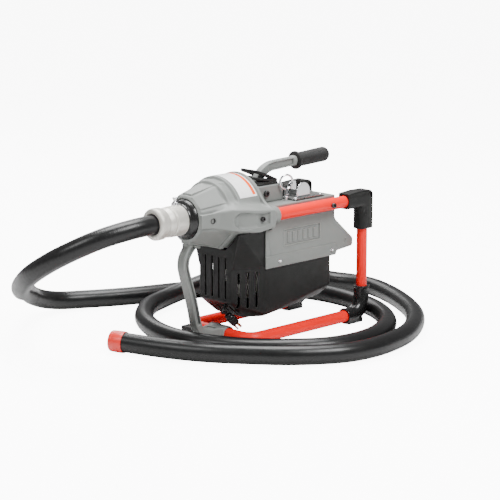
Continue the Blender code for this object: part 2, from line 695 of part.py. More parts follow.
def make_motor_shroud(plastic):
    body = shroud_solid("motor_shroud", 0.0, plastic)
    # Above the vertical corner facets the shroud fills out to a square front corner.
    front = SHROUD_FRONT_X
    for label, side in (("left", -1), ("right", 1)):
        fill = hull("corner_fill_" + label, [
            (front, side * 0.040, 0.160), (front, side * 0.055, 0.172),
            (0.068, side * 0.0795, 0.172), (0.090, side * 0.0795, 0.172),
            (0.090, side * 0.040, 0.160),
            (front, side * 0.0795, 0.2440), (0.0665, side * 0.0795, 0.2620),
            (front, side * 0.030, 0.2440), (0.0665, side * 0.030, 0.2620)])
        join(body, fill)
    inner = shroud_solid("shroud_inside", SHROUD_WALL, None)
    cut(body, inner)
    for label, side in (("left", -1), ("right", 1)):
        inner_fill = hull("corner_fill_inside_" + label, [
            (front + 0.003, side * 0.036, 0.160), (front + 0.003, side * 0.050, 0.178),
            (0.072, side * 0.0765, 0.178), (0.090, side * 0.0765, 0.178),
            (0.090, side * 0.036, 0.160),
            (front + 0.003, side * 0.0765, 0.2450), (front + 0.003, side * 0.0765, 0.280),
            (0.080, side * 0.0765, 0.280), (0.080, side * 0.020, 0.280),
            (front + 0.003, side * 0.020, 0.280)])
        cut(body, inner_fill)
    # Room for the cast nose above the front wall.
    cut(body, hull("nose_room", nose_section(-0.0500, 0.0770) + nose_section(-0.0250, 0.0805)
                   + nose_section(0.0225, 0.0812)))
    cut(body, hull("lug_room", [(x, y, z) for x in (-0.040, 0.030) for y in (-0.13, 0.13)
                                for z in (0.2600, 0.330)]))
    for index, y in enumerate((-0.033, -0.011, 0.011, 0.033)):
        cut(body, box("front_slot_" + str(index), (front - 0.010, y - 0.0021, 0.106),
                      (front + 0.010, y + 0.0021, 0.202)))
        cut(body, box("toe_slot_" + str(index), (front + 0.012, y - 0.0021, 0.050),
                      (front + 0.036, y + 0.0021, 0.0905)))
    entry = rod("cord_entry", [(-0.0186, -0.0220, 0.0690), (0.0080, -0.0220, 0.0992)], 0.0046,
                None, 2)
    cut(body, entry)
    for label, side in (("left", -1), ("right", 1)):
        for index, share in enumerate((0.22, 0.49, 0.76)):
            x = front + (0.068 - front) * share
            y = side * (0.055 + 0.025 * share)
            cut(body, box("corner_slot_" + str(index) + "_" + label, (x - 0.0024, y - 0.012, 0.084),
                          (x + 0.0024, y + 0.012, 0.163)))
    return body


# ---------------------------------------------------------------- spindle and clutch
def make_spindle(metals):
    centre = (0, 0, SPINDLE_Z)
    turned("spindle_tube", (
        (0.2790, SPINDLE_TAIL_RADIUS), (0.1520, SPINDLE_TAIL_RADIUS), (0.1500, SPINDLE_RADIUS),
        (-0.0460, SPINDLE_RADIUS), (-0.0460, SPINDLE_BORE), (0.2790, SPINDLE_BORE)), centre, "X",
        metals["steel"], 24)
    width = BELT_WIDTH / 2
    rim = SPINDLE_PULLEY_RADIUS
    turned("spindle_pulley", (
        (BELT_X + width + 0.003, rim + 0.004), (BELT_X + width + 0.001, rim + 0.004),
        (BELT_X + width, rim), (BELT_X - width, rim), (BELT_X - width - 0.001, rim + 0.004),
        (BELT_X - width - 0.003, rim + 0.004), (BELT_X - width - 0.003, rim - 0.006),
        (BELT_X - 0.003, rim - 0.007), (BELT_X - 0.003, 0.032), (BELT_X - 0.012, 0.030),
        (BELT_X - 0.012, SLEEVE_RADIUS + CLEARANCE), (BELT_X + 0.012, SLEEVE_RADIUS + CLEARANCE),
        (BELT_X + 0.012, 0.030), (BELT_X + 0.003, 0.032), (BELT_X + 0.003, rim - 0.007),
        (BELT_X + width + 0.003, rim - 0.006)), centre, "X", metals["cast_aluminium"], 24)
    turned("clutch_sleeve", (
        (0.0960, 0.0300), (0.0880, 0.0300), (0.0880, SLEEVE_RADIUS), (-0.0360, SLEEVE_RADIUS),
        (-0.0360, 0.0390), (-0.0400, 0.0420), (-0.0860, 0.0420), (-0.0860, 0.0395),
        (-0.0440, 0.0310), (-0.0440, SLEEVE_BORE), (0.0960, SLEEVE_BORE)),
        centre, "X", metals["steel"], 24)
    ring("front_bearing", 0.0610, 0.0110, SLEEVE_RADIUS + CLEARANCE, 0.0340, centre, "X",
         metals["steel"])
    ring("rear_bearing", 0.2400, 0.0120, SPINDLE_TAIL_RADIUS + CLEARANCE, 0.0182, centre, "X",
         metals["steel"], 24)
    ring("outlet_guide", 0.2860, 0.0220, 0.0112, 0.0138, centre, "X", metals["cast_aluminium"], 24)
    for index in range(3):
        make_jaw(index, metals["steel"])


def make_jaw(index, steel):
    """A clutch jaw: a third of a ring with a tapered back, its origin on the spindle axis."""
    jaw = turned("clutch_jaw_" + str(index + 1), (
        (-0.0545, 0.0280), (-0.0850, 0.0345), (-0.0850, 0.0135), (-0.0545, 0.0135)),
        (0, 0, SPINDLE_Z), "X", steel, 24)
    for turn in (-1, 1):
        angle = math.radians(90 + 120 * index)
        trim = box("jaw_trim_" + str(index) + ("_a" if turn < 0 else "_b"), (-0.10, 0.0, -0.06),
                   (-0.04, 0.06, 0.06))
        spread = Matrix.Rotation(angle + turn * math.radians(42) - math.radians(90), 4, "X")
        face = Matrix.Identity(4) if turn > 0 else Matrix.Rotation(math.radians(180), 4, "X")
        trim.matrix_world = (Matrix.Translation((0, 0, SPINDLE_Z)) @ spread @ face
                             @ trim.matrix_world)
        cut(jaw, trim)


def make_clutch_spring(steel):
    """The spring that pushes the sleeve back when the lever is let go."""
    turns, steps, radius, start, length = 4, 10, 0.0270, -0.0310, 0.0560
    points = []
    for step in range(turns * steps + 1):
        angle = math.tau * step / steps
        x = start + length * step / (turns * steps)
        points.append((x, radius * math.cos(angle), SPINDLE_Z + radius * math.sin(angle)))
    rod("clutch_spring", points, 0.0019, steel, 1)


# ---------------------------------------------------------------- motor and belt
def make_motor(metals):
    centre = (0, 0, MOTOR_Z)
    turned("motor_stator", (
        (0.2040, 0.0460), (0.2020, 0.0520), (0.1900, 0.0520), (0.1900, MOTOR_RADIUS),
        (0.1000, MOTOR_RADIUS), (0.1000, 0.0520), (0.0880, 0.0520), (0.0860, 0.0460),
        (0.0860, 0.0375), (0.1000, 0.0375), (0.1000, 0.0345), (0.1900, 0.0345),
        (0.1900, 0.0375), (0.2040, 0.0375)), centre, "X", metals["steel"], 24)
    turned_solid("motor_rotor", (
        (0.2620, 0.0), (0.2620, 0.0070), (0.1920, 0.0070), (0.1920, 0.0335), (0.0980, 0.0335),
        (0.0980, 0.0070), (0.0240, 0.0070), (0.0240, 0.0)), centre, "X", metals["steel"], 20)
    for name, start in (("motor_front_plate", 0.0740), ("motor_rear_plate", 0.2100)):
        turned(name, (
            (start + 0.006, MOTOR_RADIUS), (start, MOTOR_RADIUS), (start, 0.0180),
            (start - 0.002, 0.0165), (start - 0.002, 0.0074), (start + 0.008, 0.0074),
            (start + 0.008, 0.0165), (start + 0.006, 0.0180)), centre, "X",
            metals["cast_aluminium"], 20)
    width = BELT_WIDTH / 2
    rim = MOTOR_PULLEY_RADIUS
    turned("motor_pulley", (
        (BELT_X + width + 0.003, rim + 0.003), (BELT_X + width + 0.001, rim + 0.003),
        (BELT_X + width, rim), (BELT_X - width, rim), (BELT_X - width - 0.001, rim + 0.003),
        (BELT_X - width - 0.003, rim + 0.003), (BELT_X - width - 0.003, 0.0074),
        (BELT_X + width + 0.003, 0.0074)), centre, "X", metals["steel"], 20)
    fan = ring("cooling_fan", 0.2300, 0.0200, 0.0074, 0.0160, centre, "X",
               metals["black_plastic"], 20)
    for index in range(7):
        blade = box("fan_blade_" + str(index), (0.2315, 0.013, -0.0012), (0.2485, 0.0520, 0.0012))
        turn = Matrix.Rotation(math.tau * index / 7, 4, "X")
        blade.matrix_world = Matrix.Translation(centre) @ turn @ blade.matrix_world
        join(fan, blade)


def belt_outline(low, high, gap):
    """The tangent loop round both pulleys, in the YZ plane."""
    apart = SPINDLE_Z - MOTOR_Z
    lean = math.degrees(math.asin((high - low) / apart))
    upper = arc_points((0.0, SPINDLE_Z), high + gap, -lean, 180 + lean, 14)
    lower = arc_points((0.0, MOTOR_Z), low + gap, 180 + lean, 360 - lean, 8)
    return upper + lower


def belt_plate(name, gap, half_width, material):
    points = belt_outline(MOTOR_PULLEY_RADIUS, SPINDLE_PULLEY_RADIUS, gap)
    item = outline_plate(name, points, "XY", -half_width, half_width, material)
    # Stands the outline up: its first coordinate along Y, its second along Z.
    stand = Matrix(((0, 0, 1, BELT_X), (1, 0, 0, 0), (0, 1, 0, 0), (0, 0, 0, 1)))
    item.matrix_world = stand @ item.matrix_world
    return item


def make_belt(rubber):
    gap = 0.0009  # The belt is faceted, so its flats come nearer the turning pulley than this.
    belt = belt_plate("drive_belt", gap + BELT_THICKNESS, BELT_WIDTH / 2 - 0.0005, rubber)
    cut(belt, belt_plate("belt_inside", gap, BELT_WIDTH, None))


# ---------------------------------------------------------------- lever and bellows
def make_lever(paint, rubber, steel):
    """The clutch lever turns on its bolt; its fork pushes the sleeve's flange."""
    line = [(PIVOT_X, PIVOT_Z, 0.0125), (0.124, 0.362, 0.0108), (0.146, 0.386, 0.0105),
            (0.166, 0.3920, 0.0110), (0.190, 0.3930, 0.0110), (0.246, 0.3955, 0.0100)]
    top, bottom = [], []
    for index, (x, z, half) in enumerate(line):
        before = Vector(line[max(index - 1, 0)][:2])
        after = Vector(line[min(index + 1, len(line) - 1)][:2])
        along = (after - before).normalized()
        top.append((x - along.y * half, z + along.x * half))
        bottom.append((x + along.y * half, z - along.x * half))
    lever = outline_plate("clutch_lever", bottom + top[::-1], "XZ", -LEVER_HALF_WIDTH,
                          LEVER_HALF_WIDTH, paint)
    join(lever, cylinder("lever_hub", (PIVOT_X, 0, PIVOT_Z), 0.0110, 0.0620, "Y", None, 20))
    for label, side in (("left", -1), ("right", 1)):
        prong = hull("lever_prong_" + label, [
            (PIVOT_X - 0.0100, side * y, PIVOT_Z) for y in (0.0240, 0.0300)] + [
            (PIVOT_X + 0.0080, side * y, PIVOT_Z) for y in (0.0240, 0.0300)] + [
            (0.0985, side * y, 0.3040) for y in (0.0240, 0.0300)] + [
            (0.1065, side * y, 0.2960) for y in (0.0240, 0.0300)] + [
            (0.0992, side * y, 0.2960) for y in (0.0240, 0.0300)])
        join(lever, prong)
        web = outline_plate("lever_web_" + label, [
            (0.160, 0.3865), (0.186, 0.3867), (0.240, 0.3900), (0.240, 0.3995), (0.190, 0.3980),
            (0.164, 0.3965)], "XZ", min(side * 0.006, side * 0.02), max(side * 0.006, side * 0.02))
        cut(lever, web)
    join(lever, rod("lever_rod", [(0.240, 0, 0.3952), (0.350, 0, 0.4000)], 0.0095, None, 2))
    cut(lever, cylinder("lever_bore", (PIVOT_X, 0, PIVOT_Z), 0.0050, 0.10, "Y", None, 16))
    lever.data.transform(Matrix.Translation((-PIVOT_X, 0, -PIVOT_Z)) @ lever.matrix_world)
    lever.matrix_world = Matrix.Translation((PIVOT_X, 0, PIVOT_Z))
    grip = turned_solid("lever_grip", (
        (0.1120, 0.0), (0.1120, 0.0080), (0.1095, 0.0135), (0.1040, 0.0168), (0.0960, 0.0180),
        (0.0120, 0.0172), (0.0080, 0.0175), (0.0065, 0.0215), (0.0010, 0.0215), (0.0, 0.0200),
        (0.0, 0.0)), (0, 0, 0), "X", rubber, 18)
    lean = math.atan2(0.0048, 0.110)
    grip.matrix_world = (Matrix.Translation((0.2475, 0, 0.39553)) @ Matrix.Rotation(-lean, 4, "Y")
                         @ AXES["X"])
    cut(grip, rod("grip_bore", [(0.230, 0, 0.39476), (0.3525, 0, 0.40011)], 0.0099, None, 2))
    pin = turned_solid("lever_pivot_bolt", (
        (0.0075, 0.0), (0.0075, 0.0070), (0.0, 0.0070), (0.0, 0.0041), (-0.0900, 0.0041),
        (-0.0900, 0.0)), (PIVOT_X, -0.0434, PIVOT_Z), "Z", steel, 16)
    pin.matrix_world = (Matrix.Translation((PIVOT_X, -0.0434, PIVOT_Z))
                        @ Matrix.Rotation(math.radians(90), 4, "X"))


def make_bellows(rubber):
    """Three soft leaves, joined at their rear edge, that close the gap round the lever."""
    root = box("lever_bellows", (0.1300, -0.0400, 0.3566), (0.1660, 0.0400, 0.3640), rubber,
               0.0015, 1)
    for index, tilt in enumerate((2.0, 12.0, 23.0)):
        leaf = box("bellows_leaf_" + str(index), (-0.0720, -0.0400, -0.0030),
                   (0.0, 0.0400, 0.0030), None, 0.0020, 1)
        turn = Matrix.Rotation(math.radians(tilt), 4, "Y")
        place = (0.1560, 0.0, 0.3605 + 0.0012 * index)
        leaf.matrix_world = Matrix.Translation(place) @ turn @ leaf.matrix_world
        join(root, leaf)
    cut(root, box("bellows_slot", (0.101, -0.0200, 0.340), (0.176, 0.0200, 0.440)))
    return root


# ---------------------------------------------------------------- switch and key
def make_switch(metals, rubber):
    low, high = DECK_Z + 0.0004, DECK_Z + 0.0020
    gasket = box("switch_gasket", (0.1700, -0.0790, low), (0.270, -0.0160, high), rubber)
    plate = box("switch_plate", (0.1725, -0.0765, high + 0.0003), (0.267, -0.0175, high + 0.0023),
                metals["zinc_plate"])
    top = high + 0.0026
    cut(gasket, cylinder("gasket_toggle_hole", (0.212, -0.047, DECK_Z), 0.0090, 0.040, "Z", None, 16))
    cut(plate, cylinder("plate_toggle_hole", (0.212, -0.047, DECK_Z), 0.0090, 0.040, "Z", None, 16))
    for index, (x, y) in enumerate(((0.1775, -0.0715), (0.262, -0.0715), (0.262, -0.0220),
                                    (0.1775, -0.0220))):
        head = turned_solid("plate_screw_" + str(index + 1), (
            (0.0026, 0.0), (0.0022, 0.0022), (0.0, 0.0036), (-0.0015, 0.0036), (-0.0015, 0.0)),
            (x, y, top), "Z", None, 12)
        join(plate, head)
    guard = box("switch_guard", (0.190, -0.0640, top), (0.234, -0.0300, top + 0.0020),
                metals["chrome"])
    for label, y in (("near", -0.0640), ("far", -0.0315)):
        outline = [(0.190, top), (0.234, top)] + arc_points((0.212, top + 0.012), 0.022, 0, 180, 10)
        cheek = outline_plate("guard_cheek_" + label, outline, "XZ", y, y + 0.0015)
        join(guard, cheek)
    join(guard, box("guard_front", (0.190, -0.0640, top), (0.1916, -0.0300, top + 0.0180)))
    cut(guard, cylinder("guard_hole", (0.212, -0.047, top), 0.0100, 0.020, "Z", None, 16))
    toggle = turned_solid("toggle_switch", (
        (0.0410, 0.0), (0.0402, 0.0040), (0.0370, 0.0058), (0.0180, 0.0048), (0.0110, 0.0058),
        (-0.0080, 0.0058), (-0.0080, 0.0)), (0.212, -0.047, top), "Z", metals["black_plastic"], 16)
    smooth(toggle)
    boot = box("switch_boot", (0.182, -0.0285, top), (0.256, -0.0160, top + 0.024), rubber,
               0.006, 3)
    return boot


def make_pin_key(chrome):
    """A ring-handled key that opens the cable coupling, kept in a hole of the deck."""
    centre = Vector((*KEY_AT, 0.3605))
    stem = cylinder("coupling_key", (*KEY_AT, 0.3245), 0.0042, 0.0490, "Z", chrome, 14)
    mesh = bpy.data.meshes.new("key_ring")
    work = bmesh.new()
    circle = bmesh.ops.create_circle(work, segments=6, radius=0.0026)
    bmesh.ops.translate(work, verts=circle["verts"], vec=(0.0165, 0.0, 0.0))
    bmesh.ops.rotate(work, verts=work.verts, cent=(0.0165, 0, 0),
                     matrix=Matrix.Rotation(math.radians(90), 3, "X"))
    bmesh.ops.spin(work, geom=work.verts[:] + work.edges[:], cent=(0, 0, 0), axis=(0, 0, 1),
                   angle=math.tau, steps=18, use_merge=True)
    bmesh.ops.remove_doubles(work, verts=work.verts, dist=0.00001)
    bmesh.ops.recalc_face_normals(work, faces=work.faces)
    work.to_mesh(mesh)
    work.free()
    loop = add_object("key_ring", mesh, None)
    loop.matrix_world = (Matrix.Translation(centre) @ Matrix.Rotation(math.radians(-18), 4, "Z")
                         @ Matrix.Rotation(math.radians(90), 4, "X"))
    join(stem, loop)
    return stem


# ---------------------------------------------------------------- hose and hose end
def make_hose(vinyl, red):
    points = even_points(spline_points(HOSE_ROUTE), HOSE_SPACING)
    tube("guide_hose", points, HOSE_RADIUS, HOSE_WALL, vinyl, 1)
    end = points[-1]
    along = (points[-1] - points[-2]).normalized()
    turn = along.to_track_quat("Z", "Y").to_matrix().to_4x4()
    gap = CLEARANCE
    start = -0.026
    cuff = turned("hose_end_cap", (
        (0.0080, 0.0245), (start, 0.0250), (start, HOSE_RADIUS + gap + 0.0003),
        (0.0006, HOSE_RADIUS + gap + 0.0003), (0.0006, 0.0165), (0.0080, 0.0165)),
        (0, 0, 0), "Z", red, 20)
    cuff.matrix_world = Matrix.Translation(end) @ turn


def make_adapter(metals, rubber):
    centre = (0, 0, SPINDLE_Z)
    turned("hose_adapter", (
        (-0.1264, 0.0350), (-0.1270, 0.0355), (-0.1600, 0.0355), (-0.1615, 0.0335),
        (-0.1690, 0.0335), (-0.1705, 0.0355), (-0.1960, 0.0355), (-0.1980, 0.0365),
        (-0.2060, 0.0365), (-0.2090, 0.0340), (-0.2090, 0.0275), (-0.2070, 0.0235),
        (-0.1580, 0.0235), (-0.1580, 0.0180), (-0.1264, 0.0180)), centre, "X",
        metals["cast_aluminium"], 28)
    turned("nose_bushing", (
        (-0.1030, 0.0460), (-0.1180, 0.0460), (-0.1200, 0.0440), (-0.1200, 0.0400),
        (-0.1180, 0.0370), (-0.1258, 0.0355), (-0.1258, 0.0180), (-0.1030, 0.0180)), centre, "X",
        rubber, 24)
    plunger = turned_solid("adapter_plunger", (
        (0.0560, 0.0), (0.0560, 0.0046), (0.0520, 0.0056), (0.0490, 0.0046), (0.0465, 0.0036),
        (0.0450, 0.0056), (0.0362, 0.0056), (0.0362, 0.0)), (-0.1385, 0, SPINDLE_Z), "Z",
        metals["chrome"], 10)
    return plunger


def make_cord(metals, vinyl):
    plug = box("power_plug", (-0.011, -0.010, -0.015), (0.011, 0.010, 0.015),
               metals["black_plastic"], 0.003, 2)
    lean = Vector((-0.62, 0.30, 0.72)).to_track_quat("Z", "Y").to_matrix().to_4x4()
    place = Matrix.Translation((0.006, -0.032, 0.0560)) @ lean
    plug.matrix_world = place @ plug.matrix_world
    blades = box("plug_blades", (-0.0075, -0.0080, -0.0164), (0.0075, 0.0068, -0.0154),
                 metals["brass"])
    blades.matrix_world = place @ blades.matrix_world
    for name, x in (("plug_blade_left", -0.0055), ("plug_blade_right", 0.0055)):
        blade = box(name, (x - 0.0008, 0.0, -0.0300), (x + 0.0008, 0.0060, -0.0160))
        blade.matrix_world = place @ blade.matrix_world
        join(blades, blade)
    ground = cylinder("plug_ground_pin", (0, 0, 0), 0.0022, 0.0150, "Z", None, 10)
    ground.matrix_world = place @ Matrix.Translation((0.0, -0.0055, -0.0234))
    join(blades, ground)
    top = place @ Vector((0, 0, 0.0155))
    points = [top, place @ Vector((0, 0, 0.0220)), Vector((-0.0150, -0.0235, 0.0735)),
              Vector((-0.0120, -0.0220, 0.0765)), Vector((0.0080, -0.0220, 0.0992))]
    rod("power_cord", points, 0.0040, vinyl, 1)


def make_labels(film):
    """A plain printed band on the dome's near shoulder."""
    label = turned("dome_label", (
        (0.0440, 0.08780), (-0.0040, 0.08780), (-0.0040, 0.08720), (0.0440, 0.08720)),
        (0, 0, SPINDLE_Z), "X", film, 32)
    keep = hull("label_keep", [(x, y, SPINDLE_Z + z) for x in (-0.02, 0.07) for y, z in (
        (0.0, 0.0), (-0.173, 0.100), (-0.100, 0.173), (0.0, 0.2), (0.085, 0.181))])
    add_boolean(label, keep, "INTERSECT")


def main():
    clear_scene()
    looks = make_materials()
    make_lower_frame(looks["red_paint"])
    make_straight_tubes(looks["red_paint"])
    for label, side in (("left", -1), ("right", 1)):
        make_upper_elbow(label, side, looks["black_plastic"])
        make_lower_elbow(label, side, looks["black_plastic"])
        make_front_foot_pad(label, side, looks["black_rubber"])
        make_cap_screw("lug_screw_" + label, (LUG_SCREW_X, side * 0.1157, 0.300), side, 0.0055, 0.0010,
                       looks["black_oxide"])
        make_cap_screw("rail_screw_" + label, (0.260, side * 0.1152, 0.300), side, 0.0050, 0.0006,
                       looks["black_oxide"])
        for place, x in (("front", 0.110), ("rear", 0.287)):
            make_cap_screw("cover_screw_" + place + "_" + label, (x, side * 0.0857, 0.1855), side,
                           0.0036, 0.0048, looks["zinc_plate"])
    make_clutch_housing(looks["grey_paint"])
    make_front_leg(looks["grey_paint"])
    make_drive_cover(looks["grey_paint"])
    make_lever_bracket(looks["grey_paint"])
    make_motor_shroud(looks["black_plastic"])
    make_spindle(looks)
    make_clutch_spring(looks["steel"])
    make_motor(looks)
    make_belt(looks["belt_rubber"])
    make_lever(looks["grey_paint"], looks["black_rubber"], looks["black_oxide"])
    make_bellows(looks["black_rubber"])
    make_switch(looks, looks["black_rubber"])
    make_pin_key(looks["chrome"])
    make_hose(looks["hose_vinyl"], looks["red_vinyl"])
    make_adapter(looks, looks["black_rubber"])
    make_cord(looks, looks["cord_vinyl"])
    make_labels(looks["label_film"])


main()
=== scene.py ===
import json
import math

import bmesh
import bpy
import numpy as np
from mathutils import Matrix, Vector


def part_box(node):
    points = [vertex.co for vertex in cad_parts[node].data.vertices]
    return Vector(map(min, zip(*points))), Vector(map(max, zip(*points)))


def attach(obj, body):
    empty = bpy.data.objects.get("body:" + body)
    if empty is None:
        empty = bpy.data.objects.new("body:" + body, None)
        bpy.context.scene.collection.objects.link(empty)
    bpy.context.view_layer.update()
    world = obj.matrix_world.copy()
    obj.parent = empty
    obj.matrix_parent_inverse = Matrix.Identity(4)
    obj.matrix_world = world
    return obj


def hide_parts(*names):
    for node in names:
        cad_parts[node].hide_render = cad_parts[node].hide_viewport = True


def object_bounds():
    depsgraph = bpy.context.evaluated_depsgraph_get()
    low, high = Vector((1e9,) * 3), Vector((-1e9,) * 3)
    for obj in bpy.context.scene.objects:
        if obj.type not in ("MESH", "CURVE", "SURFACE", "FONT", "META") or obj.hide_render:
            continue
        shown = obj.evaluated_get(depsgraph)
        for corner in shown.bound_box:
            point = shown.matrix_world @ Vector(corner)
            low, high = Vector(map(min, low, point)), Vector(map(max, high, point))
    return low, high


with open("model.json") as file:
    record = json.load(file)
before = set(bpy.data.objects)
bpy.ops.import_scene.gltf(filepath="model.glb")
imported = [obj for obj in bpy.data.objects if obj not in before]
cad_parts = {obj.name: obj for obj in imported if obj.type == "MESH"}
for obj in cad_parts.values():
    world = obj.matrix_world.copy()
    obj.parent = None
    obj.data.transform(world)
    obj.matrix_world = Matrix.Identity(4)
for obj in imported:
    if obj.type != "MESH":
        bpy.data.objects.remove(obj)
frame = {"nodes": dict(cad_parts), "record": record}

CAD_LOW, CAD_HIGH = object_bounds()

SPINDLE_Z = 0.302
RAIL_Y = 0.100
RAIL_RADIUS = 0.0143
POST_RADIUS = 0.0127
LOWER_RAIL_Z = 0.020
UPPER_RAIL_Z = 0.300
POST_X = 0.379
LOWER_MOUTH_X = 0.318
UPPER_MOUTH_X = 0.313
LOWER_MOUTH_Z = 0.087
UPPER_MOUTH_Z = 0.228
DECK_Z = 0.317
PIVOT_X, PIVOT_Z = 0.1065, 0.3385
KEY_AT = (0.1635, -0.0550)
TOGGLE_AT = (0.212, -0.047)
PLUNGER_AT = (-0.1385, 0.0)
SPINDLE = (0.0, SPINDLE_Z)
CENTRE = (0.0, 0.0, SPINDLE_Z)
RAIL_BORE = RAIL_RADIUS + 0.0004
POST_BORE = POST_RADIUS + 0.0004
TUBE_WALL = 0.002
COVER_HALF = 0.0840
COVER_WALL = 0.0035
SIDES = (("left", -1), ("right", 1))


# ---------------------------------------------------------------- materials
def link_noise(tree, source, scale, detail, rough=0.55):
    noise = tree.nodes.new("ShaderNodeTexNoise")
    noise.inputs["Scale"].default_value = scale
    noise.inputs["Detail"].default_value = detail
    noise.inputs["Roughness"].default_value = rough
    tree.links.new(source, noise.inputs["Vector"])
    return noise.outputs["Fac"]


def link_range(tree, source, low, high, to_low, to_high):
    span = tree.nodes.new("ShaderNodeMapRange")
    for key, value in (("From Min", low), ("From Max", high), ("To Min", to_low), ("To Max", to_high)):
        span.inputs[key].default_value = value
    tree.links.new(source, span.inputs["Value"])
    return span.outputs["Result"]


def link_mix(tree, factor, first, second):
    mix = tree.nodes.new("ShaderNodeMix")
    mix.data_type = "RGBA"
    tree.links.new(factor, mix.inputs["Factor"])
    for key, value in (("A", first), ("B", second)):
        socket = [s for s in mix.inputs if s.name == key and s.type == "RGBA"][0]
        if isinstance(value, tuple):
            socket.default_value = (*value, 1.0)
        else:
            tree.links.new(value, socket)
    return [s for s in mix.outputs if s.type == "RGBA"][0]


def make_material(name, colour, other, rough, metallic=0.0, blotch=12.0, grain=(), stretch=(1, 1, 1),
                  wear_and_edge_highlight=None, coat=0.0, dirt_and_shade=None, sheen=0.0, gloss=0.5):
    """A Principled surface: `other` is the colour it drifts to, `grain` is (scale, depth) pairs of
    surface relief in metres, `wear_and_edge_highlight` is (colour, amount) on raised edges, part rubbed
    edges and part painted highlight, and `dirt_and_shade` is the same in the hollows, part grime and part
    painted shade."""
    made = bpy.data.materials.new(name)
    made.use_nodes = True
    tree = made.node_tree
    shader = tree.nodes["Principled BSDF"]
    coords = tree.nodes.new("ShaderNodeTexCoord")
    mapping = tree.nodes.new("ShaderNodeMapping")
    mapping.inputs["Scale"].default_value = stretch
    tree.links.new(coords.outputs["Object"], mapping.inputs["Vector"])
    place = mapping.outputs["Vector"]
    plain = coords.outputs["Object"]
    tint = link_mix(tree, link_range(tree, link_noise(tree, plain, blotch, 4.0), 0.35, 0.65, 0.0, 1.0),
                    colour, other)
    roughness = link_range(tree, link_noise(tree, place, 70.0, 5.0, 0.65), 0.3, 0.7, *rough)
    if wear_and_edge_highlight or dirt_and_shade:
        geometry = tree.nodes.new("ShaderNodeNewGeometry")
        speckle = link_noise(tree, plain, 230.0, 3.0)
        if dirt_and_shade:
            # Hollows darken towards the given colour: grime on the cast metal, and painted shade standing in
            # for occlusion in the creases of the grey paint.
            low = link_range(tree, geometry.outputs["Pointiness"], 0.49, 0.43, 0.0, dirt_and_shade[1])
            tint = link_mix(tree, low, tint, dirt_and_shade[0])
        if wear_and_edge_highlight:
            # Raised edges lighten towards the given colour in specks: partly rubbed edges, partly a painted
            # highlight where light catches them.
            high = link_range(tree, geometry.outputs["Pointiness"], 0.515, 0.60, 0.0, wear_and_edge_highlight[1])
            both = tree.nodes.new("ShaderNodeMath")
            both.operation = "MULTIPLY"
            tree.links.new(high, both.inputs[0])
            tree.links.new(link_range(tree, speckle, 0.35, 0.6, 0.25, 1.0), both.inputs[1])
            tint = link_mix(tree, both.outputs["Value"], tint, wear_and_edge_highlight[0])
    tree.links.new(tint, shader.inputs["Base Color"])
    tree.links.new(roughness, shader.inputs["Roughness"])
    shader.inputs["Metallic"].default_value = metallic
    shader.inputs["Specular IOR Level"].default_value = gloss
    shader.inputs["Coat Weight"].default_value = coat
    shader.inputs["Coat Roughness"].default_value = 0.18
    shader.inputs["Sheen Weight"].default_value = sheen
    normal = None
    for scale, depth in grain:
        bump = tree.nodes.new("ShaderNodeBump")
        bump.inputs["Strength"].default_value = 1.0
        bump.inputs["Distance"].default_value = depth
        tree.links.new(link_noise(tree, place, scale, 3.0, 0.6), bump.inputs["Height"])
        if normal is not None:
            tree.links.new(normal, bump.inputs["Normal"])
        normal = bump.outputs["Normal"]
    if normal is not None:
        tree.links.new(normal, shader.inputs["Normal"])
    made.diffuse_color = (*colour, 1.0)
    return made


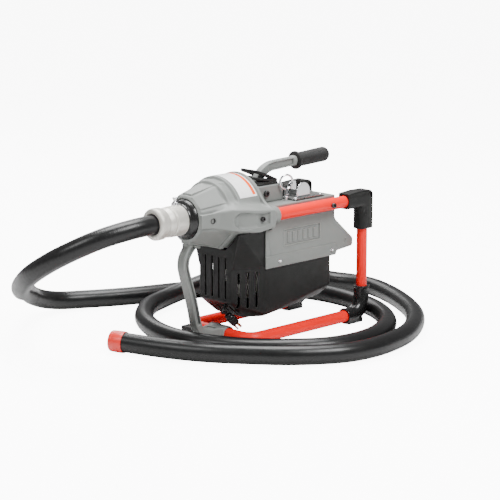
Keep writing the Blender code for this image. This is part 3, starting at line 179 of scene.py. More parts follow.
MATERIALS = {
    # The grey paint darkens in its hollows as painted shade, and its lighter edges are partly a painted
    # highlight.
    "grey_paint": make_material("grey_paint", (0.205, 0.215, 0.204), (0.186, 0.196, 0.187), (0.36, 0.52),
                                grain=((900.0, 0.00012), (160.0, 0.00010)), gloss=0.4,
                                wear_and_edge_highlight=((0.42, 0.43, 0.41), 0.7), dirt_and_shade=((0.060, 0.063, 0.056), 0.8)),
    "red_paint": make_material("red_paint", (0.960, 0.006, 0.001), (0.900, 0.005, 0.001), (0.34, 0.48),
                               grain=((700.0, 0.00006), (90.0, 0.00010)), gloss=0.30,
                               wear_and_edge_highlight=((0.98, 0.03, 0.01), 0.3)),
    "black_plastic": make_material("black_plastic", (0.0075, 0.0075, 0.0072), (0.0110, 0.0110, 0.0105),
                                   (0.36, 0.52), grain=((1300.0, 0.00014), (350.0, 0.00008)),
                                   gloss=0.26, wear_and_edge_highlight=((0.045, 0.045, 0.043), 0.8)),
    "gloss_black": make_material("gloss_black", (0.007, 0.007, 0.007), (0.010, 0.010, 0.010),
                                 (0.18, 0.30), grain=((220.0, 0.00010),), gloss=0.42,
                                 wear_and_edge_highlight=((0.040, 0.040, 0.040), 0.6)),
    "soft_black": make_material("soft_black", (0.0085, 0.0085, 0.0085), (0.013, 0.013, 0.0125),
                                (0.50, 0.70), grain=((800.0, 0.00016),), sheen=0.10, gloss=0.3,
                                wear_and_edge_highlight=((0.035, 0.035, 0.033), 0.6)),
    "hose_vinyl": make_material("hose_vinyl", (0.006, 0.006, 0.0062), (0.009, 0.009, 0.0092),
                                (0.27, 0.36), blotch=5.0, gloss=0.34),
    "red_plastic": make_material("red_plastic", (0.72, 0.025, 0.015), (0.62, 0.020, 0.012),
                                 (0.28, 0.42), grain=((500.0, 0.00008),), coat=0.2),
    "cast_metal": make_material("cast_metal", (0.70, 0.68, 0.63), (0.58, 0.56, 0.51), (0.34, 0.52),
                                metallic=0.55, blotch=28.0, grain=((420.0, 0.00022), (1500.0, 0.00010)),
                                wear_and_edge_highlight=((0.80, 0.79, 0.76), 0.7), dirt_and_shade=((0.30, 0.27, 0.20), 0.6)),
    "steel": make_material("steel", (0.46, 0.46, 0.47), (0.40, 0.40, 0.41), (0.22, 0.40),
                           metallic=1.0, stretch=(6, 1, 1), grain=((260.0, 0.00006),)),
    "bright_steel": make_material("bright_steel", (0.80, 0.80, 0.82), (0.72, 0.72, 0.74),
                                  (0.08, 0.18), metallic=1.0, grain=((60.0, 0.00008),)),
    "zinc": make_material("zinc", (0.62, 0.62, 0.60), (0.52, 0.53, 0.52), (0.22, 0.40),
                          metallic=1.0, blotch=45.0, grain=((300.0, 0.00008),)),
    "black_steel": make_material("black_steel", (0.020, 0.020, 0.021), (0.035, 0.034, 0.033),
                                 (0.28, 0.42), metallic=0.6, grain=((600.0, 0.00008),),
                                 wear_and_edge_highlight=((0.16, 0.16, 0.16), 0.7)),
    "brass": make_material("brass", (0.72, 0.50, 0.20), (0.60, 0.40, 0.15), (0.22, 0.38),
                           metallic=1.0, grain=((200.0, 0.00006),)),
    "label_film": make_material("label_film", (0.97, 0.97, 0.97), (0.93, 0.93, 0.93), (0.24, 0.34),
                                grain=((150.0, 0.00005),), coat=0.3),
    "label_orange": make_material("label_orange", (0.96, 0.10, 0.004), (0.90, 0.09, 0.004),
                                  (0.24, 0.34), grain=((150.0, 0.00005),), coat=0.3),
    "copper": make_material("copper", (0.50, 0.20, 0.08), (0.30, 0.28, 0.27), (0.32, 0.46),
                            metallic=0.9, blotch=60.0, grain=((300.0, 0.00020),)),
}
NODE_SLOT = {part["node"]: part["material_slot"] for part in frame["record"]["subparts"]}


# ---------------------------------------------------------------- mesh helpers
def link_mesh(name, verts, faces, slot, smooth=True):
    """A mesh object from vertices and faces, which may be an array of quads."""
    mesh = bpy.data.meshes.new(name)
    if isinstance(faces, np.ndarray):
        verts = np.asarray(verts, np.float32)
        mesh.vertices.add(len(verts))
        mesh.vertices.foreach_set("co", verts.ravel())
        mesh.loops.add(faces.size)
        mesh.loops.foreach_set("vertex_index", faces.astype(np.int32).ravel())
        mesh.polygons.add(len(faces))
        mesh.polygons.foreach_set("loop_start", np.arange(0, faces.size, faces.shape[1], dtype=np.int32))
        mesh.update(calc_edges=True)
    else:
        mesh.from_pydata([tuple(v) for v in verts], [], faces)
    mesh.validate()
    if smooth:
        mesh.polygons.foreach_set("use_smooth", np.ones(len(mesh.polygons), bool))
    mesh.materials.append(MATERIALS[slot])
    item = bpy.data.objects.new(name, mesh)
    bpy.context.scene.collection.objects.link(item)
    return item


def fix_normals(mesh, merge=0.0, sharp=None):
    """Turns the faces outward, and can merge close vertices and mark edges sharper than an angle."""
    work = bmesh.new()
    work.from_mesh(mesh)
    if merge:
        bmesh.ops.remove_doubles(work, verts=work.verts, dist=merge)
    bmesh.ops.recalc_face_normals(work, faces=work.faces)
    if sharp:
        mark_sharp(work, sharp)
    work.to_mesh(mesh)
    work.free()


def mark_sharp(work, angle):
    for edge in work.edges:
        edge.smooth = len(edge.link_faces) != 2 or edge.calc_face_angle(0.0) < math.radians(angle)


def settle(item, body, slot, *nodes):
    """The piece rides on its body and stands for these CAD nodes, which it hides; slot is not used."""
    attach(item, body)
    if nodes:
        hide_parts(*nodes)
    return item


def rounded(points, radius, count=3, closed=True):
    """The polyline with its corners rounded by up to radius."""
    made = []
    total = len(points)
    for index in range(total):
        if not closed and index in (0, total - 1):
            made.append(Vector(points[index]))
            continue
        before, here, after = (Vector(points[(index + k) % total]) for k in (-1, 0, 1))
        first, second = before - here, after - here
        reach = min(radius, first.length * 0.49, second.length * 0.49)
        if reach < 1e-6 or first.angle(second) > math.radians(172):
            made.append(here)
            continue
        start, stop = here + first.normalized() * reach, here + second.normalized() * reach
        for step in range(count + 1):
            t = step / count
            made.append((1 - t) ** 2 * start + 2 * t * (1 - t) * here + t * t * stop)
    return [tuple(p) for p in made]


AXIS_TURN = {
    "X": Matrix.Rotation(math.radians(90), 4, "Y"),
    "Y": Matrix.Rotation(math.radians(-90), 4, "X"),
    "Z": Matrix.Identity(4),
}


def on_axis(centre, axis):
    return Matrix.Translation(centre) @ AXIS_TURN[axis]


def toward(centre, direction):
    """Places a piece so that its Z runs along the direction."""
    return Matrix.Translation(centre) @ Vector(direction).to_track_quat("Z", "Y").to_matrix().to_4x4()


def rings(name, sections, place, slot, steps=64, closed=False):
    """A solid lofted through rings. A section is (along, radius), and radius may be a function of
    the angle. Closed sections run round in a loop, and open ones end in flat caps."""
    verts, faces = [], []
    for along, radius in sections:
        for step in range(steps):
            angle = math.tau * step / steps
            reach = radius(angle) if callable(radius) else radius
            verts.append(place @ Vector((reach * math.cos(angle), reach * math.sin(angle), along)))
    count = len(sections)
    for index in range(count if closed else count - 1):
        one, two = index * steps, ((index + 1) % count) * steps
        for step in range(steps):
            after = (step + 1) % steps
            faces.append((one + step, one + after, two + after, two + step))
    if not closed:
        faces.append(tuple(range(steps))[::-1])
        faces.append(tuple(range((count - 1) * steps, count * steps)))
    item = link_mesh(name, verts, faces, slot)
    fix_normals(item.data, merge=1e-6, sharp=38)
    return item


def hexagon(flat):
    """A hexagon's radius at an angle, from its flat-to-centre distance."""
    def radius(angle):
        turn = (angle + math.pi / 6) % (math.pi / 3) - math.pi / 6
        return flat / math.cos(turn)
    return radius


def cap_screw(name, centre, direction, radius, height, slot, body="machine", nodes=(), length=0.0):
    """A socket head cap screw: centre is under its head and direction points out of it."""
    bevel = radius * 0.16
    flat = radius * 0.52
    sections = []
    if length:
        sections += [(-length, radius * 0.50), (0.0, radius * 0.54)]
    sections += [(0.0, radius * 0.96), (bevel * 0.5, radius), (height - bevel, radius),
                 (height - bevel * 0.3, radius - bevel * 0.3), (height, radius - bevel),
                 (height, hexagon(flat * 1.10)), (height - bevel * 0.5, hexagon(flat)),
                 (height * 0.35, hexagon(flat * 0.98)), (height * 0.25, 0.0004)]
    item = rings(name, sections, toward(centre, direction), slot, 48)
    return settle(item, body, slot, *nodes)


def arc(centre, radius, start, stop, steps):
    """Points of a circle's arc, angles in degrees."""
    made = []
    for step in range(steps + 1):
        angle = math.radians(start + (stop - start) * step / steps)
        made.append((centre[0] + radius * math.cos(angle), centre[1] + radius * math.sin(angle)))
    return made


def smooth_line(route, parts=8):
    """A smooth line through every point (centripetal Catmull-Rom)."""
    knots = [Vector(p) for p in route]
    knots = [2 * knots[0] - knots[1]] + knots + [2 * knots[-1] - knots[-2]]
    made = []
    for p0, p1, p2, p3 in zip(knots, knots[1:], knots[2:], knots[3:]):
        d1 = math.sqrt((p1 - p0).length)
        d2 = math.sqrt((p2 - p1).length)
        d3 = math.sqrt((p3 - p2).length)
        m1 = d2 * ((p1 - p0) / d1 - (p2 - p0) / (d1 + d2) + (p2 - p1) / d2)
        m2 = d2 * ((p2 - p1) / d2 - (p3 - p1) / (d2 + d3) + (p3 - p2) / d3)
        for step in range(parts):
            t = step / parts
            made.append((2 * t**3 - 3 * t**2 + 1) * p1 + (t**3 - 2 * t**2 + t) * m1
                        + (3 * t**2 - 2 * t**3) * p2 + (t**3 - t**2) * m2)
    made.append(knots[-2])
    return made


def even_line(points, spacing):
    """The same line with its points at one spacing."""
    points = np.array([tuple(p) for p in points])
    lengths = np.concatenate([[0.0], np.cumsum(np.linalg.norm(np.diff(points, axis=0), axis=1))])
    count = max(int(round(lengths[-1] / spacing)), 1)
    target = np.linspace(0.0, lengths[-1], count + 1)
    return np.stack([np.interp(target, lengths, points[:, k]) for k in range(3)], axis=1)


def sweep(name, line, radius, slot, steps=32, inner=0.0, rib=None):
    """A tube along a line. `rib` is (pitch, height) of a helical rib. `inner` opens its bore."""
    line = np.array([tuple(p) for p in line])
    tangent = np.gradient(line, axis=0)
    tangent /= np.linalg.norm(tangent, axis=1)[:, None]
    normal = np.zeros_like(line)
    start = np.cross(tangent[0], (0.0, 0.0, 1.0))
    if np.linalg.norm(start) < 1e-4:
        start = np.cross(tangent[0], (0.0, 1.0, 0.0))
    normal[0] = start / np.linalg.norm(start)
    for index in range(1, len(line)):
        flat = normal[index - 1] - tangent[index] * (normal[index - 1] @ tangent[index])
        normal[index] = flat / np.linalg.norm(flat)
    across = np.cross(tangent, normal)
    angle = np.arange(steps) * math.tau / steps
    reach = np.full((len(line), steps), radius)
    if rib:
        travel = np.concatenate([[0.0], np.cumsum(np.linalg.norm(np.diff(line, axis=0), axis=1))])
        phase = travel[:, None] / rib[0] * math.tau - angle[None, :]
        reach = radius - rib[1] * (0.5 - 0.5 * np.cos(phase)) ** 1.6

    def shell(radii):
        return (line[:, None, :] + radii[:, :, None] * (
            np.cos(angle)[None, :, None] * normal[:, None, :]
            + np.sin(angle)[None, :, None] * across[:, None, :])).reshape(-1, 3)

    verts = [shell(reach)]
    rows = len(line)
    if inner:
        verts.append(shell(np.full((rows, steps), inner)))
    verts = np.concatenate(verts)
    index = np.arange(rows * steps).reshape(rows, steps)
    after = np.roll(index, -1, axis=1)
    outer = np.stack([index[:-1], after[:-1], after[1:], index[1:]], axis=-1).reshape(-1, 4)
    if inner:
        shift = rows * steps
        inside = outer[:, ::-1] + shift
        first = np.stack([index[0], index[0] + shift, after[0] + shift, after[0]], axis=-1)
        last = np.stack([index[-1], after[-1], after[-1] + shift, index[-1] + shift], axis=-1)
        faces = np.concatenate([outer, inside, first, last])
        return link_mesh(name, verts, faces, slot)
    faces = [tuple(f) for f in outer.tolist()]
    faces.append(tuple(index[0].tolist())[::-1])
    faces.append(tuple(index[-1].tolist()))
    return link_mesh(name, verts.tolist(), faces, slot)


# ---------------------------------------------------------------- castings as distance fields
class Grid:
    """A block of sample points, with one array for each axis that broadcasts to the whole."""

    def __init__(self, low, high, step):
        self.step = step
        self.low = np.array(low, float) - 2.5 * step
        self.count = [int(math.ceil((h + 2.5 * step - l) / step)) + 1 for l, h in zip(self.low, high)]
        shapes = ((-1, 1, 1), (1, -1, 1), (1, 1, -1))
        self.axes = [(self.low[k] + step * np.arange(self.count[k])).astype(np.float32).reshape(shapes[k])
                     for k in range(3)]
        self.x, self.y, self.z = self.axes


def blend_min(first, second, soft=0.0):
    """The union of two fields, with a fillet about as wide as soft."""
    if soft <= 0:
        return np.minimum(first, second)
    near = np.maximum(soft - np.abs(first - second), 0) / soft
    return np.minimum(first, second) - near * near * (soft * 0.25)


def blend_max(first, second, soft=0.0):
    return -blend_min(-first, -second, soft)


def take_away(first, second, soft=0.0):
    return blend_max(first, -second, soft)


def capped(flat, along, soft):
    """Where a flat field and a slab meet, with the edge rounded by soft."""
    one, two = flat + soft, along + soft
    return (np.minimum(np.maximum(one, two), 0)
            + np.sqrt(np.maximum(one, 0) ** 2 + np.maximum(two, 0) ** 2) - soft)


def block(grid, low, high, soft=0.0):
    parts = []
    for values, start, stop in zip(grid.axes, low, high):
        parts.append(np.abs(values - (start + stop) / 2) - ((stop - start) / 2 - soft))
    outside = np.sqrt(sum(np.maximum(part, 0) ** 2 for part in parts))
    return outside + np.minimum(np.maximum(np.maximum(parts[0], parts[1]), parts[2]), 0) - soft


def slab(grid, axis, low, high):
    return np.abs(grid.axes["XYZ".index(axis)] - (low + high) / 2) - (high - low) / 2


def drum(grid, axis, centre, radius, low, high, soft=0.0):
    """A cylinder along an axis. Centre is its two other coordinates, in XYZ order."""
    others = [grid.axes[k] for k in range(3) if k != "XYZ".index(axis)]
    flat = np.sqrt((others[0] - centre[0]) ** 2 + (others[1] - centre[1]) ** 2) - radius
    return capped(flat, slab(grid, axis, low, high), soft)


def polygon(across, up, points):
    """Signed distance to a polygon."""
    best, inside = None, None
    for index in range(len(points)):
        (ax, ay), (bx, by) = points[index], points[index - 1]
        ex, ey = bx - ax, by - ay
        wx, wy = across - ax, up - ay
        share = np.clip((wx * ex + wy * ey) / max(ex * ex + ey * ey, 1e-12), 0, 1)
        away = (wx - ex * share) ** 2 + (wy - ey * share) ** 2
        rise = ey if abs(ey) > 1e-12 else 1e-12
        crosses = ((ay > up) != (by > up)) & (across < ex * (up - ay) / rise + ax)
        best = away if best is None else np.minimum(best, away)
        inside = crosses if inside is None else inside ^ crosses
    return np.where(inside, -1.0, 1.0).astype(np.float32) * np.sqrt(best)


def prism(grid, plane, points, low, high, soft=0.0, grow=0.0):
    """A polygon in the XZ, XY or YZ plane, extruded between two levels of the third axis."""
    first, second = (grid.axes["XYZ".index(letter)] for letter in plane)
    third = [letter for letter in "XYZ" if letter not in plane][0]
    return capped(polygon(first, second, points) - grow, slab(grid, third, low, high), soft)


def lathe(grid, axis, centre, points):
    """A closed (along, radius) profile turned about an axis. Radius 0 reaches past the axis."""
    which = "XYZ".index(axis)
    along = grid.axes[which] - centre[which]
    others = [grid.axes[k] - centre[k] for k in range(3) if k != which]
    radial = np.sqrt(others[0] ** 2 + others[1] ** 2)
    fine = grid.step / 2
    reach = np.arange(0.0, float(radial.max()) + 2 * fine, fine)
    profile = [(a, r if r > 0 else -0.05) for a, r in points]
    table = polygon(along.reshape(-1, 1), reach.reshape(1, -1), profile).astype(np.float32).T
    spot = np.squeeze(radial, axis=which) / fine
    base = spot.astype(np.int32)
    share = (spot - base)[:, :, None]
    return np.moveaxis(table[base] * (1 - share) + table[base + 1] * share, 2, which)


def hull_planes(points):
    work = bmesh.new()
    for point in points:
        work.verts.new(point)
    bmesh.ops.convex_hull(work, input=work.verts)
    bmesh.ops.recalc_face_normals(work, faces=work.faces)
    planes = {}
    for face in work.faces:
        face.normal_update()
        if face.calc_area() < 1e-10:
            continue
        normal = face.normal
        offset = normal.dot(face.calc_center_median())
        planes[tuple(round(v, 3) for v in (*normal, offset * 10))] = (tuple(normal), offset)
    work.free()
    return list(planes.values())


def convex(grid, points, soft=0.0):
    """The convex solid through the points, with its edges rounded."""
    field = None
    for (nx, ny, nz), offset in hull_planes(points):
        side = nx * grid.x + ny * grid.y + nz * grid.z - offset
        field = side if field is None else blend_max(field, side, soft)
    return field


def pipe(grid, points, radius):
    """Everything within radius of a line through the points."""
    best = None
    for first, second in zip(points, points[1:]):
        a, e = np.array(first, float), np.array(second, float) - np.array(first, float)
        wx, wy, wz = grid.x - a[0], grid.y - a[1], grid.z - a[2]
        share = np.clip((wx * e[0] + wy * e[1] + wz * e[2]) / (e @ e), 0, 1)
        away = (wx - e[0] * share) ** 2 + (wy - e[1] * share) ** 2 + (wz - e[2] * share) ** 2
        best = away if best is None else np.minimum(best, away)
    return np.sqrt(best) - radius


def sample(field, spots):
    """The field at spots given in grid steps, by trilinear interpolation."""
    top = np.array(field.shape) - 2
    base = np.clip(np.floor(spots).astype(np.int32), 0, top)
    share = spots - base
    total = 0.0
    for corner in range(8):
        bits = [(corner >> k) & 1 for k in range(3)]
        weight = 1.0
        for k in range(3):
            weight = weight * (share[:, k] if bits[k] else 1 - share[:, k])
        total = total + weight * field[base[:, 0] + bits[0], base[:, 1] + bits[1], base[:, 2] + bits[2]]
    return total


def skin(name, grid, field, slot):
    """The field's zero surface as a mesh of quads (surface nets), pulled onto the surface."""
    field = np.ascontiguousarray(np.broadcast_to(field, grid.count), np.float32)
    inside = field < 0
    nx, ny, nz = field.shape
    total = np.zeros((nx - 1, ny - 1, nz - 1), np.uint8)
    for corner in range(8):
        a, b, c = corner & 1, (corner >> 1) & 1, (corner >> 2) & 1
        total += inside[a:nx - 1 + a, b:ny - 1 + b, c:nz - 1 + c]
    active = (total > 0) & (total < 8)
    cells = np.argwhere(active)
    number = np.full(active.shape, -1, np.int32)
    number[active] = np.arange(len(cells))
    spot, hits = np.zeros((len(cells), 3)), np.zeros(len(cells))
    for axis in range(3):
        others = [k for k in range(3) if k != axis]
        for bits in range(4):
            start = np.zeros(3, int)
            start[others[0]], start[others[1]] = bits & 1, bits >> 1
            stop = start.copy()
            stop[axis] = 1
            one, two = cells + start, cells + stop
            fa, fb = field[tuple(one.T)], field[tuple(two.T)]
            cross = (fa < 0) != (fb < 0)
            share = np.where(cross, fa / np.where(cross, fa - fb, 1), 0)
            place = np.repeat(start[None, :].astype(float), len(cells), axis=0)
            place[:, axis] = share
            spot[cross] += place[cross]
            hits += cross
    spots = cells + spot / hits[:, None]
    for _ in range(2):
        value = sample(field, spots)
        slope = np.stack([(sample(field, spots + step) - sample(field, spots - step)) / 1.2
                          for step in np.eye(3) * 0.6], axis=1)
        size = np.maximum((slope ** 2).sum(axis=1), (0.3 * grid.step) ** 2)
        move = slope * (value / size)[:, None]
        spots = spots - np.clip(move, -0.35, 0.35)
    quads = []
    for axis in range(3):
        one, two = [k for k in range(3) if k != axis]
        lower = [slice(1, -1)] * 3
        upper = [slice(1, -1)] * 3
        lower[axis], upper[axis] = slice(0, -1), slice(1, None)
        change = inside[tuple(lower)].astype(np.int8) - inside[tuple(upper)]
        where = np.argwhere(change != 0)
        sign = change[tuple(where.T)]
        shift = np.ones(3, int)
        shift[axis] = 0
        base = where + shift
        corners = []
        for da, db in ((-1, -1), (0, -1), (0, 0), (-1, 0)):
            at = base.copy()
            at[:, one] += da
            at[:, two] += db
            corners.append(number[tuple(at.T)])
        made = np.stack(corners, axis=1)
        flip = (sign > 0) if axis != 1 else (sign < 0)
        made[~flip] = made[~flip][:, ::-1]
        quads.append(made)
    verts = grid.low + spots * grid.step
    return link_mesh(name, verts, np.concatenate(quads), slot)


def cast(name, grid, field, slot, node, body="machine", finish=None):
    """Skins a field and settles it on its body in place of a CAD node."""
    return settle(skin(name, grid, field, finish or slot), body, slot, node)


# ---------------------------------------------------------------- cast nose
def nose_section(x, radius):
    """The eight corners of an octagon round the spindle line. Radius is to the middle of a flat."""
    turns = [math.radians(22.5 + 45 * k) for k in range(8)]
    reach = radius / math.cos(turns[0])
    return [(x, reach * math.cos(turn), SPINDLE_Z + reach * math.sin(turn)) for turn in turns]


TOP_PAD = ((-0.1020, 0.0578, 0.0140), (-0.0370, 0.0718, 0.0205))
BOTTOM_PAD = ((-0.1088, 0.0572, 0.0135), (-0.0190, 0.0762, 0.0290))
UPPER_PAD = ((-0.1065, 0.0538, 0.0185), (-0.0420, 0.0694, 0.0242))
SIDE_PAD = ((-0.1095, 0.0580, 0.0155), (-0.0380, 0.0705, 0.0205))
LUG_SCREW_X = 0.0220


def nose_pad(grid, angle, side, sizes, soft=0.0014):
    """A raised pad with straight walls. Sizes is (x, reach, half width) at each end."""
    points = []
    turn = math.radians(angle)
    for (x, high, half), low in zip(sizes, (0.045, 0.055)):
        for reach, wide in ((low, half + 0.0010), (high, half)):
            for across in (-wide, wide):
                y = reach * math.cos(turn) - across * math.sin(turn)
                z = SPINDLE_Z + reach * math.sin(turn) + across * math.cos(turn)
                points.append((x, side * y, z))
    return convex(grid, points, soft)


def make_clutch_housing():
    grid = Grid((-0.1110, -0.1255, 0.2140), (0.0835, 0.1255, 0.3920), 0.00112)
    nose = convex(grid, nose_section(-0.1060, 0.0520) + nose_section(-0.0400, 0.0668)
                  + nose_section(0.0000, 0.0790) + nose_section(0.0210, 0.0805), 0.003)
    rim = lathe(grid, "X", CENTRE, (
        (-0.080, 0.0), (-0.080, 0.0570), (-0.1000, 0.0545), (-0.1062, 0.0535), (-0.1092, 0.0500),
        (-0.1098, 0.0480), (-0.1098, 0.0)))
    body = blend_min(nose, rim, 0.0020)
    band = convex(grid, nose_section(-0.0290, 0.0768) + nose_section(-0.0180, 0.0776), 0.0022)
    body = blend_min(body, band, 0.0014)
    for angle, sides, sizes in ((90, (1,), TOP_PAD), (49, (1, -1), UPPER_PAD), (0, (1, -1), SIDE_PAD),
                                (-90, (1,), BOTTOM_PAD)):
        for side in sides:
            body = blend_min(body, nose_pad(grid, angle, side, sizes), 0.0010)
    # The belt cover steps down twice on its way to the nose, with a rounded lip on each step.
    dome = lathe(grid, "X", CENTRE, (
        (0.0560, 0.0), (0.0560, 0.0856), (0.0502, 0.0856), (0.0490, 0.0868), (-0.0135, 0.0868),
        (-0.0148, 0.0862), (-0.0156, 0.0850),
        (-0.0176, 0.0806), (-0.0190, 0.0801), (-0.0355, 0.0792), (-0.0372, 0.0786), (-0.0384, 0.0772),
        (-0.0404, 0.0722), (-0.0420, 0.0705), (-0.0450, 0.0)))
    flange = capped(
        blend_min(np.sqrt(grid.y ** 2 + (grid.z - SPINDLE_Z) ** 2) - 0.0889,
                  np.sqrt((np.abs(grid.y) - RAIL_Y) ** 2 + (grid.z - UPPER_RAIL_Z) ** 2) - 0.0225, 0.034),
        slab(grid, "X", 0.0535, 0.0605), 0.0016)
    crown = blend_min(dome, flange, 0.0020)
    crown = blend_max(crown, 0.2762 - grid.z + 0 * grid.x, 0.003)
    body = blend_min(body, crown, 0.0022)
    for side in (-1, 1):
        lug = convex(grid, [
            (-0.0740, side * 0.0600, 0.2830), (-0.0740, side * 0.0600, 0.3170),
            (-0.0440, side * 0.0960, 0.2770), (-0.0440, side * 0.0960, 0.3270),
            (0.0120, side * 0.1236, 0.2700), (0.0120, side * 0.1236, 0.3232),
            (0.0600, side * 0.1236, 0.2765), (0.0600, side * 0.1236, 0.3180),
            (0.0590, side * 0.0600, 0.2740), (0.0590, side * 0.0600, 0.3290),
            (-0.0300, side * 0.0600, 0.2640), (-0.0300, side * 0.0600, 0.3440)], 0.004)
        body = blend_min(body, lug, 0.007)
        collar = drum(grid, "X", (side * RAIL_Y, UPPER_RAIL_Z), 0.0206, 0.0560, 0.0820, 0.0034)
        lip = drum(grid, "X", (side * RAIL_Y, UPPER_RAIL_Z), 0.0228, 0.0560, 0.0650, 0.0026)
        body = blend_min(body, blend_min(collar, lip, 0.0012), 0.003)
    # A scoop in each lug for its screw: round at the front, deepest at the back.
    outline = ([(0.0420, 0.3138), (0.0420, 0.2885), (-0.0180, 0.2792)]
               + arc((-0.0265, 0.2998), 0.0196, 268, 96, 10) + [(-0.0200, 0.3178)])
    inside = lathe(grid, "X", CENTRE, (
        (0.10, 0.0), (0.10, 0.0795), (0.012, 0.0770), (-0.030, 0.0655), (-0.063, 0.0560),
        (-0.092, 0.0475), (-0.096, 0.0465), (-0.130, 0.0466), (-0.130, 0.0)))
    body = take_away(body, inside)
    # A wall closes the back of the belt cover above the deck, with a hole for the spindle.
    wall = take_away(drum(grid, "X", SPINDLE, 0.0815, 0.0574, 0.0602, 0.0008),
                     drum(grid, "X", SPINDLE, 0.0325, 0.0500, 0.0700), 0.0008)
    body = blend_min(body, blend_max(wall, 0.2900 - grid.z + 0 * grid.x, 0.0010), 0.0015)
    floor_y = np.interp(grid.x, (-0.048, -0.030, 0.004, 0.010), (0.0900, 0.0925, 0.1153, 0.1156))
    scoop = blend_max(polygon(grid.x, grid.z, outline) + 0.0 * grid.y, floor_y - np.abs(grid.y), 0.010)
    body = take_away(body, scoop, 0.0008)
    for side in (-1, 1):
        body = take_away(body, drum(grid, "X", (side * RAIL_Y, UPPER_RAIL_Z), RAIL_BORE, 0.0076, 0.110))
        body = take_away(body, drum(grid, "Y", (LUG_SCREW_X, 0.300), 0.0034, side * 0.115 - 0.012,
                                    side * 0.115 + 0.012))
        body = take_away(body, drum(grid, "Y", (-0.0800, SPINDLE_Z - 0.0008), 0.0068, side * 0.072 - 0.012,
                                    side * 0.072 + 0.012), 0.0010)
    cast("nose_casting", grid, body, "grey_paint", "clutch_housing")
    # A steel thread insert in each side pad.
    for label, side in SIDES:
        at = (-0.0800, side * 0.0632, SPINDLE_Z - 0.0008)
        outside = [(-0.0075, 0.0066), (-0.0004, 0.0066), (0.0, 0.0062), (0.0, 0.0056)]
        thread = []
        for turn in range(6):
            thread += [(-0.0004 - 0.0012 * turn, 0.0054), (-0.0010 - 0.0012 * turn, 0.0048)]
        insert = rings("pad_insert_" + label, outside + thread + [(-0.0075, 0.0048)],
                       toward(at, (0, side, 0)), "black_steel", 32, closed=True)
        settle(insert, "machine", "black_steel")


# ---------------------------------------------------------------- front leg
def make_front_leg():
    grid = Grid((-0.1255, -0.0295, 0.0), (0.0192, 0.0295, 0.2500), 0.00112)
    route = [(-0.0880, 0.2450), (-0.0935, 0.2365), (-0.1025, 0.2270), (-0.1120, 0.2120), (-0.1150, 0.1940),
             (-0.1105, 0.1730), (-0.0965, 0.1300), (-0.0853, 0.0890), (-0.0790, 0.0600), (-0.0740, 0.0455),
             (-0.0655, 0.0350), (-0.0420, 0.0290)]
    line = [(p.x, p.y) for p in smooth_line([(x, z, 0) for x, z in route], 4)]

    def ribbon(half, start, stop):
        left, right = [], []
        part = line[start:stop]
        for index, (x, z) in enumerate(part):
            before, after = Vector(part[max(index - 1, 0)]), Vector(part[min(index + 1, len(part) - 1)])
            along = (after - before).normalized()
            left.append((x - along.y * half, z + along.x * half))
            right.append((x + along.y * half, z - along.x * half))
        return left + right[::-1]

    body = prism(grid, "XZ", ribbon(0.0094, 0, len(line)), -0.0120, 0.0120, 0.0034)
    top = convex(grid, [(x, y, z) for y in (-0.0135, 0.0135) for x, z in (
        (-0.1060, 0.2385), (-0.1060, 0.2520), (-0.0715, 0.2300), (-0.0715, 0.2440))], 0.003)
    body = blend_min(body, top, 0.006)
    arm = convex(grid, [(-0.062, -0.0115, 0.0205), (-0.062, 0.0115, 0.0205), (-0.062, -0.0115, 0.0375),
                        (-0.062, 0.0115, 0.0375), (-0.012, -0.0275, 0.0060), (-0.012, 0.0275, 0.0060),
                        (-0.012, -0.0275, 0.0372), (-0.012, 0.0275, 0.0372)], 0.004)
    body = blend_min(body, arm, 0.006)
    body = blend_min(body, drum(grid, "Y", (0.0, LOWER_RAIL_Z), 0.0190, -0.029, 0.029, 0.0022), 0.004)
    body = blend_min(body, block(grid, (-0.018, -0.024, 0.0), (0.018, 0.024, 0.012), 0.0018), 0.003)
    web = prism(grid, "XZ", ribbon(0.0050, 3, len(line) - 10), 0.0062, 0.040)
    mirror = prism(grid, "XZ", ribbon(0.0050, 3, len(line) - 10), -0.040, -0.0062)
    body = take_away(take_away(body, web, 0.0018), mirror, 0.0018)
    groove = convex(grid, [(-0.050, -0.004, 0.040), (-0.050, 0.004, 0.040), (-0.050, -0.004, 0.0295),
                           (-0.050, 0.004, 0.0295), (-0.022, -0.0185, 0.0420), (-0.022, 0.0185, 0.0420),
                           (-0.022, -0.0185, 0.0330), (-0.022, 0.0185, 0.0330)], 0.002)
    body = take_away(body, groove, 0.002)
    body = take_away(body, drum(grid, "Y", (0.0, LOWER_RAIL_Z), RAIL_BORE, -0.06, 0.06))
    nose = convex(grid, nose_section(-0.1130, 0.0568) + nose_section(-0.0190, 0.0766))
    body = take_away(body, nose)
    body = take_away(body, drum(grid, "X", SPINDLE, 0.0549, -0.130, -0.080))
    cast("leg_casting", grid, body, "grey_paint", "front_leg")


# ---------------------------------------------------------------- lever
def offset_line(line, half):
    """Both sides of a line of (x, z, half) points, for the top and the bottom."""
    top, bottom = [], []
    for index, (x, z, wide) in enumerate(line):
        before = Vector(line[max(index - 1, 0)][:2])
        after = Vector(line[min(index + 1, len(line) - 1)][:2])
        along = (after - before).normalized()
        reach = wide + half
        top.append((x - along.y * reach, z + along.x * reach))
        bottom.append((x + along.y * reach, z - along.x * reach))
    return top + bottom[::-1]


